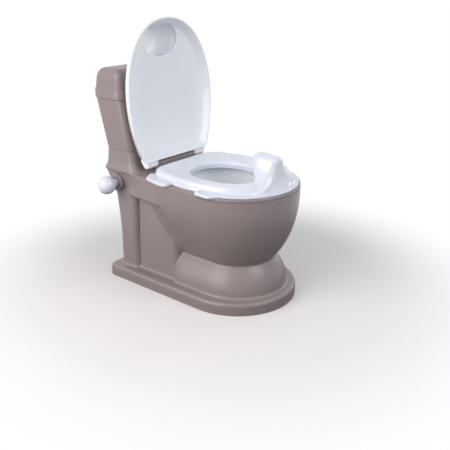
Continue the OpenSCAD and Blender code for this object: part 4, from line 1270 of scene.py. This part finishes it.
class TurnedSet(Graph):
    """Node tree that turns one small round piece from a profile and repeats it at every point of a mesh."""

    def __init__(self, name: str, sizes: dict[str, float], rings: int) -> None:
        """Start the tree with its named inputs and a drum of rings.

        Args:
            name: Name of the tree.
            sizes: Named sizes in metres.
            rings: Number of rings that the profile has.
        """
        super().__init__(bpy.data.node_groups.new(name, "GeometryNodeTree"))
        self.sizes = sizes
        kinds = {
            "Places": "Geometry", **dict.fromkeys(sizes, "Float"), "Turn": "Vector", "Finish": "Material",
        }
        for label, kind in kinds.items():
            self.tree.interface.new_socket(label, in_out="INPUT", socket_type=f"NodeSocket{kind}")
        self.tree.interface.new_socket("Set", in_out="OUTPUT", socket_type="NodeSocketGeometry")
        self.inputs = self.tree.nodes.new("NodeGroupInput").outputs
        self.drum = self.add("GeometryNodeMeshCylinder", {
            "Vertices": 40, "Side Segments": rings - 1, "Radius": 1.0, "Depth": 1.0,
        }, "Mesh")
        self.apart = self.add(
            "ShaderNodeSeparateXYZ", {"Vector": self.add("GeometryNodeInputPosition")}
        ).node.outputs
        self.along = self.sum("ADD", self.apart["Z"], 0.5)

    def sum(self, operation: str, a: bpy.types.NodeSocket | float, b: bpy.types.NodeSocket | float
            ) -> bpy.types.NodeSocket:
        """Join two values by one sum."""
        return self.add("ShaderNodeMath", {0: a, 1: b}, operation=operation)

    def vector(self, **parts: bpy.types.NodeSocket) -> bpy.types.NodeSocket:
        """Vector of the parts that are given."""
        return self.add("ShaderNodeCombineXYZ", parts)

    def share(self, values: Sequence[float]) -> bpy.types.NodeSocket:
        """Curve through one value for each ring."""
        made = self.add("ShaderNodeFloatCurve", {"Value": self.along})
        mapping = made.node.mapping
        mapping.clip_min_y, mapping.use_clip = 0.0, False
        curve, last = mapping.curves[0], len(values) - 1
        curve.points[0].location, curve.points[1].location = (0.0, values[0]), (1.0, values[-1])
        for k in range(1, last):
            curve.points.new(k / last, values[k])
        for point in curve.points:
            point.handle_type = "VECTOR"
        mapping.update()
        return made

    def blended(self, parts: dict[str, Sequence[float]]) -> bpy.types.NodeSocket:
        """Sum of named sizes, each times its curve."""
        total: bpy.types.NodeSocket | float = 0.0
        for label, values in parts.items():
            total = self.sum("ADD", total, self.sum("MULTIPLY", self.inputs[label], self.share(values)))
        return total

    def turned(self, radius: bpy.types.NodeSocket, height: bpy.types.NodeSocket) -> bpy.types.NodeSocket:
        """Drum whose rings have the given radius and height."""
        x, y = (self.sum("MULTIPLY", self.apart[axis], radius) for axis in "XY")
        return self.add("GeometryNodeSetPosition", {
            "Geometry": self.drum, "Position": self.vector(X=x, Y=y, Z=height),
        })

    def crossed(self, piece: bpy.types.NodeSocket, width: str, depth: str) -> bpy.types.NodeSocket:
        """Cut a cross recess into the head, as wide and deep as named sizes allow."""
        cut = self.add("GeometryNodeMeshBoolean", {"Mesh 1": piece}, "Mesh", operation="DIFFERENCE")
        for spans in ((0.56, 0.13), (0.13, 0.56)):
            x, y = (self.sum("MULTIPLY", self.inputs[width], v) for v in spans)
            bar = self.add(
                "GeometryNodeMeshCube", {"Size": self.vector(X=x, Y=y, Z=self.inputs[depth])}, "Mesh"
            )
            down = self.vector(Z=self.sum("MULTIPLY", self.inputs[depth], -1.0))
            self.fill(cut.node, {
                "Mesh 2": self.add("GeometryNodeTransform", {"Geometry": bar, "Translation": down}),
            })
        return cut

    def finish(self, piece: bpy.types.NodeSocket) -> None:
        """Repeat the piece at the places, realise it and set its finish."""
        spread = self.add("GeometryNodeInstanceOnPoints", {
            "Points": self.inputs["Places"], "Instance": piece, "Rotation": self.inputs["Turn"],
        })
        real = self.add("GeometryNodeRealizeInstances", {"Geometry": spread})
        dressed = self.add("GeometryNodeSetMaterial", {"Geometry": real, "Material": self.inputs["Finish"]})
        self.fill(self.tree.nodes.new("NodeGroupOutput"), {"Set": dressed})

    def laid(self, name: str, places: Sequence[Point], finish: bpy.types.Material, flip: bool = False
             ) -> bpy.types.Object:
        """Lay the set out as one plain mesh.

        Args:
            name: Name of the new object.
            places: Places in millimetres.
            finish: Material of the pieces.
            flip: True turns each piece upside down.

        Returns:
            The finished set.
        """
        mesh = bpy.data.meshes.new(name + "_places")
        mesh.from_pydata([Vector(p) * MM for p in places], [], [])
        holder = linked(name + "_places", mesh)
        modifier = holder.modifiers.new("set", "NODES")
        modifier.node_group = self.tree
        values = {**self.sizes, "Turn": (math.pi if flip else 0.0, 0.0, 0.0), "Finish": finish}
        for item in self.tree.interface.items_tree:
            if item.in_out == "INPUT" and item.name in values:
                modifier[item.identifier] = values[item.name]
        bpy.context.view_layer.update()
        evaluated = holder.evaluated_get(bpy.context.evaluated_depsgraph_get())
        piece = linked(name, bpy.data.meshes.new_from_object(evaluated))
        bpy.data.objects.remove(holder, do_unlink=True)
        shade(piece, SOFT_EDGE)
        return piece


@dataclass
class Fastenings:
    """Screws and non-slip pads of the body."""

    sizes: ChairSizes
    screw_d: float = 3.5
    screw_len: float = 14.0
    pad_d: float = 24.0
    pad_t: float = 2.0
    plate_t: float = 4.0

    def screw(self, name: str, head: float) -> TurnedSet:
        """Pan-headed screw with a cross recess, its head's underside at the origin."""
        made = TurnedSet(name, {"Head Radius": self.screw_d * MM, "Head Height": head * MM,
                                "Shank Radius": self.screw_d / 2 * MM, "Length": self.screw_len * MM}, 10)
        radius = made.blended({
            "Head Radius": (0.7, 0.88, 0.98, 1, 1, 0, 0, 0, 0, 0),
            "Shank Radius": (0, 0, 0, 0, 0, 1, 1, 0.92, 0.6, 0.15),
        })
        height = made.blended({
            "Head Height": (-1, -0.9, -0.65, -0.35, 0, 0, 0, 0, 0, 0),
            "Length": (0, 0, 0, 0, 0, 0, 0.75, 0.86, 0.95, 1),
        })
        made.finish(made.crossed(made.turned(radius, height), "Head Radius", "Head Height"))
        return made

    def pad(self) -> TurnedSet:
        """Non-slip pad with a ring groove and a dished middle."""
        made = TurnedSet("foot_pad", {"Pad Radius": self.pad_d / 2 * MM, "Thickness": self.pad_t * MM}, 11)
        radius = made.blended({"Pad Radius": (0.2, 0.26, 0.3, 0.56, 0.6, 0.7, 0.74, 0.92, 0.98, 1, 1)})
        height = made.blended({"Thickness": (0.25, 0.2, 0, 0, 0.25, 0.25, 0, 0, 0.1, 0.35, 1)})
        made.finish(made.turned(radius, height))
        return made

    def make(self, finishes: Finishes) -> None:
        """Lay out every set of screws and the pads."""
        s, out, side = self.sizes, self.sizes.plinth_w / 2 - 9, self.sizes.tank_w / 2 - 17
        steel, rubber = finishes.made[Slot.STEEL], finishes.made[Slot.RUBBER]
        low = [(x, y, self.plate_t / 2) for x in (-out, out) for y in (-50.0, 45.0, 140.0)]
        low.append((0.0, -168.0, self.plate_t / 2))
        base = self.screw("base_screw", self.plate_t / 2 - 0.3).laid("base_screw_set", low, steel)
        put(base, Body.BODY, Slot.STEEL, finishes, ["base_screws"])
        pan = self.screw("pan_screw", 2.5)
        high = [
            (x, y, s.tank_z + s.wall)
            for x in (-side, side)
            for y in (s.tank_front + 17, s.tank_back - 17)
        ]
        put(
            pan.laid("tank_screw_set", high, steel, flip=True),
            Body.BODY, Slot.STEEL, finishes, ["tank_screws"],
        )
        hinge = [(x, s.hinge_y, s.rim_z - s.wall) for x in (-30.0, 30.0)]
        put(pan.laid("hinge_screw_set", hinge, steel), Body.BODY, Slot.STEEL, finishes, ["hinge_screws"])
        feet = [(x, y, 0.0) for x in (-78.0, 78.0) for y in (-85.0, 40.0, 140.0)] + [(0.0, -147.5, 0.0)]
        put(self.pad().laid("foot_pad_set", feet, rubber), Body.BODY, Slot.RUBBER, finishes, ["foot_pads"])


# ---------------------------------------------------------------- studio


@dataclass
class Studio:
    """Pale floor, soft lamps and the camera."""

    eye: Point = (-919.6, -780.1, 592.5)
    azimuth: float = -50.961
    elevation: float = 21.508
    roll: float = 0.371
    lens: float = 52.52
    sky: float = 0.41
    floor_size: float = 6000.0
    floor_tone: Tone = (247, 243, 241)
    floor_bounce: Tone = (118, 116, 117)
    fade_start: float = 0.3
    fade_end: float = 0.6

    def floor(self) -> None:
        """Lay the pale floor, which turns plain white away from the chair."""
        f = self.floor_size
        floor = solid("studio_floor", [(-f, -f, 0), (f, -f, 0), (f, f, 0), (-f, f, 0)], [(0, 1, 2, 3)])
        made = Surface("pale_floor")
        tone = made.add("ShaderNodeMix", {
            "Factor": made.add("ShaderNodeLightPath", out="Is Camera Ray"),
            "A": linear(*self.floor_bounce), "B": linear(*self.floor_tone),
        }, "Result", data_type="RGBA")
        made.fill(made.shader, {"Base Color": tone, "Roughness": 0.6, "Specular IOR Level": 0.2})
        where = made.add("ShaderNodeTexCoord", out="Object")
        away = made.add(
            "ShaderNodeVectorMath", {0: where, 1: (0.0, -0.02, 0.0)}, "Value", operation="DISTANCE"
        )
        fade = made.add("ShaderNodeMapRange", {
            "Value": away, "From Min": self.fade_start, "From Max": self.fade_end,
        }, "Result", interpolation_type="SMOOTHSTEP")
        share = made.add("ShaderNodeMath", {0: fade, 1: self.seen(made)}, operation="MULTIPLY")
        both = made.add("ShaderNodeMixShader", {
            "Fac": share, 1: made.shader.outputs["BSDF"], 2: made.add("ShaderNodeEmission"),
        })
        made.fill(made.tree.nodes["Material Output"], {"Surface": both})
        floor.data.materials.append(made.material)

    @staticmethod
    def seen(graph: Graph) -> bpy.types.NodeSocket:
        """Socket that is 1 for the rays that show the background, straight on or through gloss and glass."""
        path = graph.add("ShaderNodeLightPath", out="Is Camera Ray")
        total = path
        for name in ("Is Glossy Ray", "Is Transmission Ray"):
            total = graph.add("ShaderNodeMath", {0: total, 1: path.node.outputs[name]}, operation="MAXIMUM")
        return total

    def world(self) -> None:
        """Even pale surroundings, white to the camera."""
        world = bpy.data.worlds.new("studio_world")
        bpy.context.scene.world = world
        world.use_nodes = True
        made = Graph(world.node_tree)
        soft = made.tree.nodes["Background"]
        made.fill(soft, {"Color": (0.91, 0.94, 1.0, 1.0), "Strength": self.sky})
        white = made.add("ShaderNodeBackground", {"Color": (1.0, 1.0, 1.0, 1.0)})
        both = made.add("ShaderNodeMixShader", {
            "Fac": self.seen(made), 1: soft.outputs["Background"], 2: white,
        })
        made.fill(made.tree.nodes["World Output"], {"Surface": both})

    def lamp(self, name: str, at: Point, aim: Point, size: float, power: float, colour: Point) -> None:
        """Hang one soft square lamp."""
        data = bpy.data.lights.new(name, "AREA")
        data.shape = "SQUARE"
        data.size = size * MM
        data.energy = power
        data.color = colour
        lamp = linked(name, data)
        lamp.location = Vector(at) * MM
        lamp.rotation_mode = "QUATERNION"
        lamp.rotation_quaternion = (Vector(aim) - Vector(at)).to_track_quat("-Z", "Y")

    def camera(self) -> None:
        """Set the camera at the viewing angle."""
        data = bpy.data.cameras.new("camera")
        data.lens = self.lens
        data.sensor_width = 36.0
        data.clip_end = 50.0
        camera = linked("camera", data)
        a, e, r = (math.radians(v) for v in (self.azimuth, self.elevation, self.roll))
        back = Vector((math.sin(a) * math.cos(e), -math.cos(a) * math.cos(e), math.sin(e)))
        right = Vector((math.cos(a), math.sin(a), 0.0))
        up = back.cross(right)
        x = right * math.cos(r) + up * math.sin(r)
        y = up * math.cos(r) - right * math.sin(r)
        turn = Matrix((x, y, back)).transposed().to_4x4()
        camera.matrix_world = Matrix.Translation(Vector(self.eye) * MM) @ turn
        bpy.context.scene.camera = camera

    def make(self) -> None:
        """Set up the studio."""
        bpy.context.scene.view_settings.view_transform = "Standard"
        self.camera()
        self.floor()
        self.world()
        self.lamp("side", (-1350, 300, 780), (0, 100, 300), 1300, 19.0, (1.0, 0.98, 0.97))
        self.lamp("front", (100, -1150, 1050), (0, 90, 360), 800, 7.0, (0.96, 0.98, 1.0))
        self.lamp("strip", (1700, -350, 700), (0, 0, 220), 320, 3.0, (0.92, 0.88, 1.0))


# ---------------------------------------------------------------- the chair


CARRIED: dict[str, Slot] = {
    "base_plate": Slot.TAUPE,
    "hinge_block": Slot.TAUPE,
    "hinge_pins": Slot.WHITE,
    "knob_shaft": Slot.STEEL,
    "bush_nut": Slot.WHITE,
    "click_wheel": Slot.WHITE,
    "shaft_clip": Slot.STEEL,
    "spring_bracket": Slot.STEEL,
    "click_spring": Slot.STEEL,
    "spring_rivet": Slot.STEEL,
}


def main() -> None:
    """Build every piece in order, then light and frame the chair."""
    logging.basicConfig(level=logging.INFO, format="%(name)s %(message)s")
    finishes = Finishes()
    sizes = ChairSizes()
    lid = ToiletLid(sizes)
    seat = SeatRing(sizes, lid)
    for part in (
        BodyShell(sizes), Cistern(sizes), lid, seat, Pot(sizes), FlushKnob(sizes), Fastenings(sizes),
    ):
        part.make(finishes)
    for node, slot in CARRIED.items():
        finishes.dress_node(node, slot)
    Studio().make()


if __name__ == "__main__":
    main()
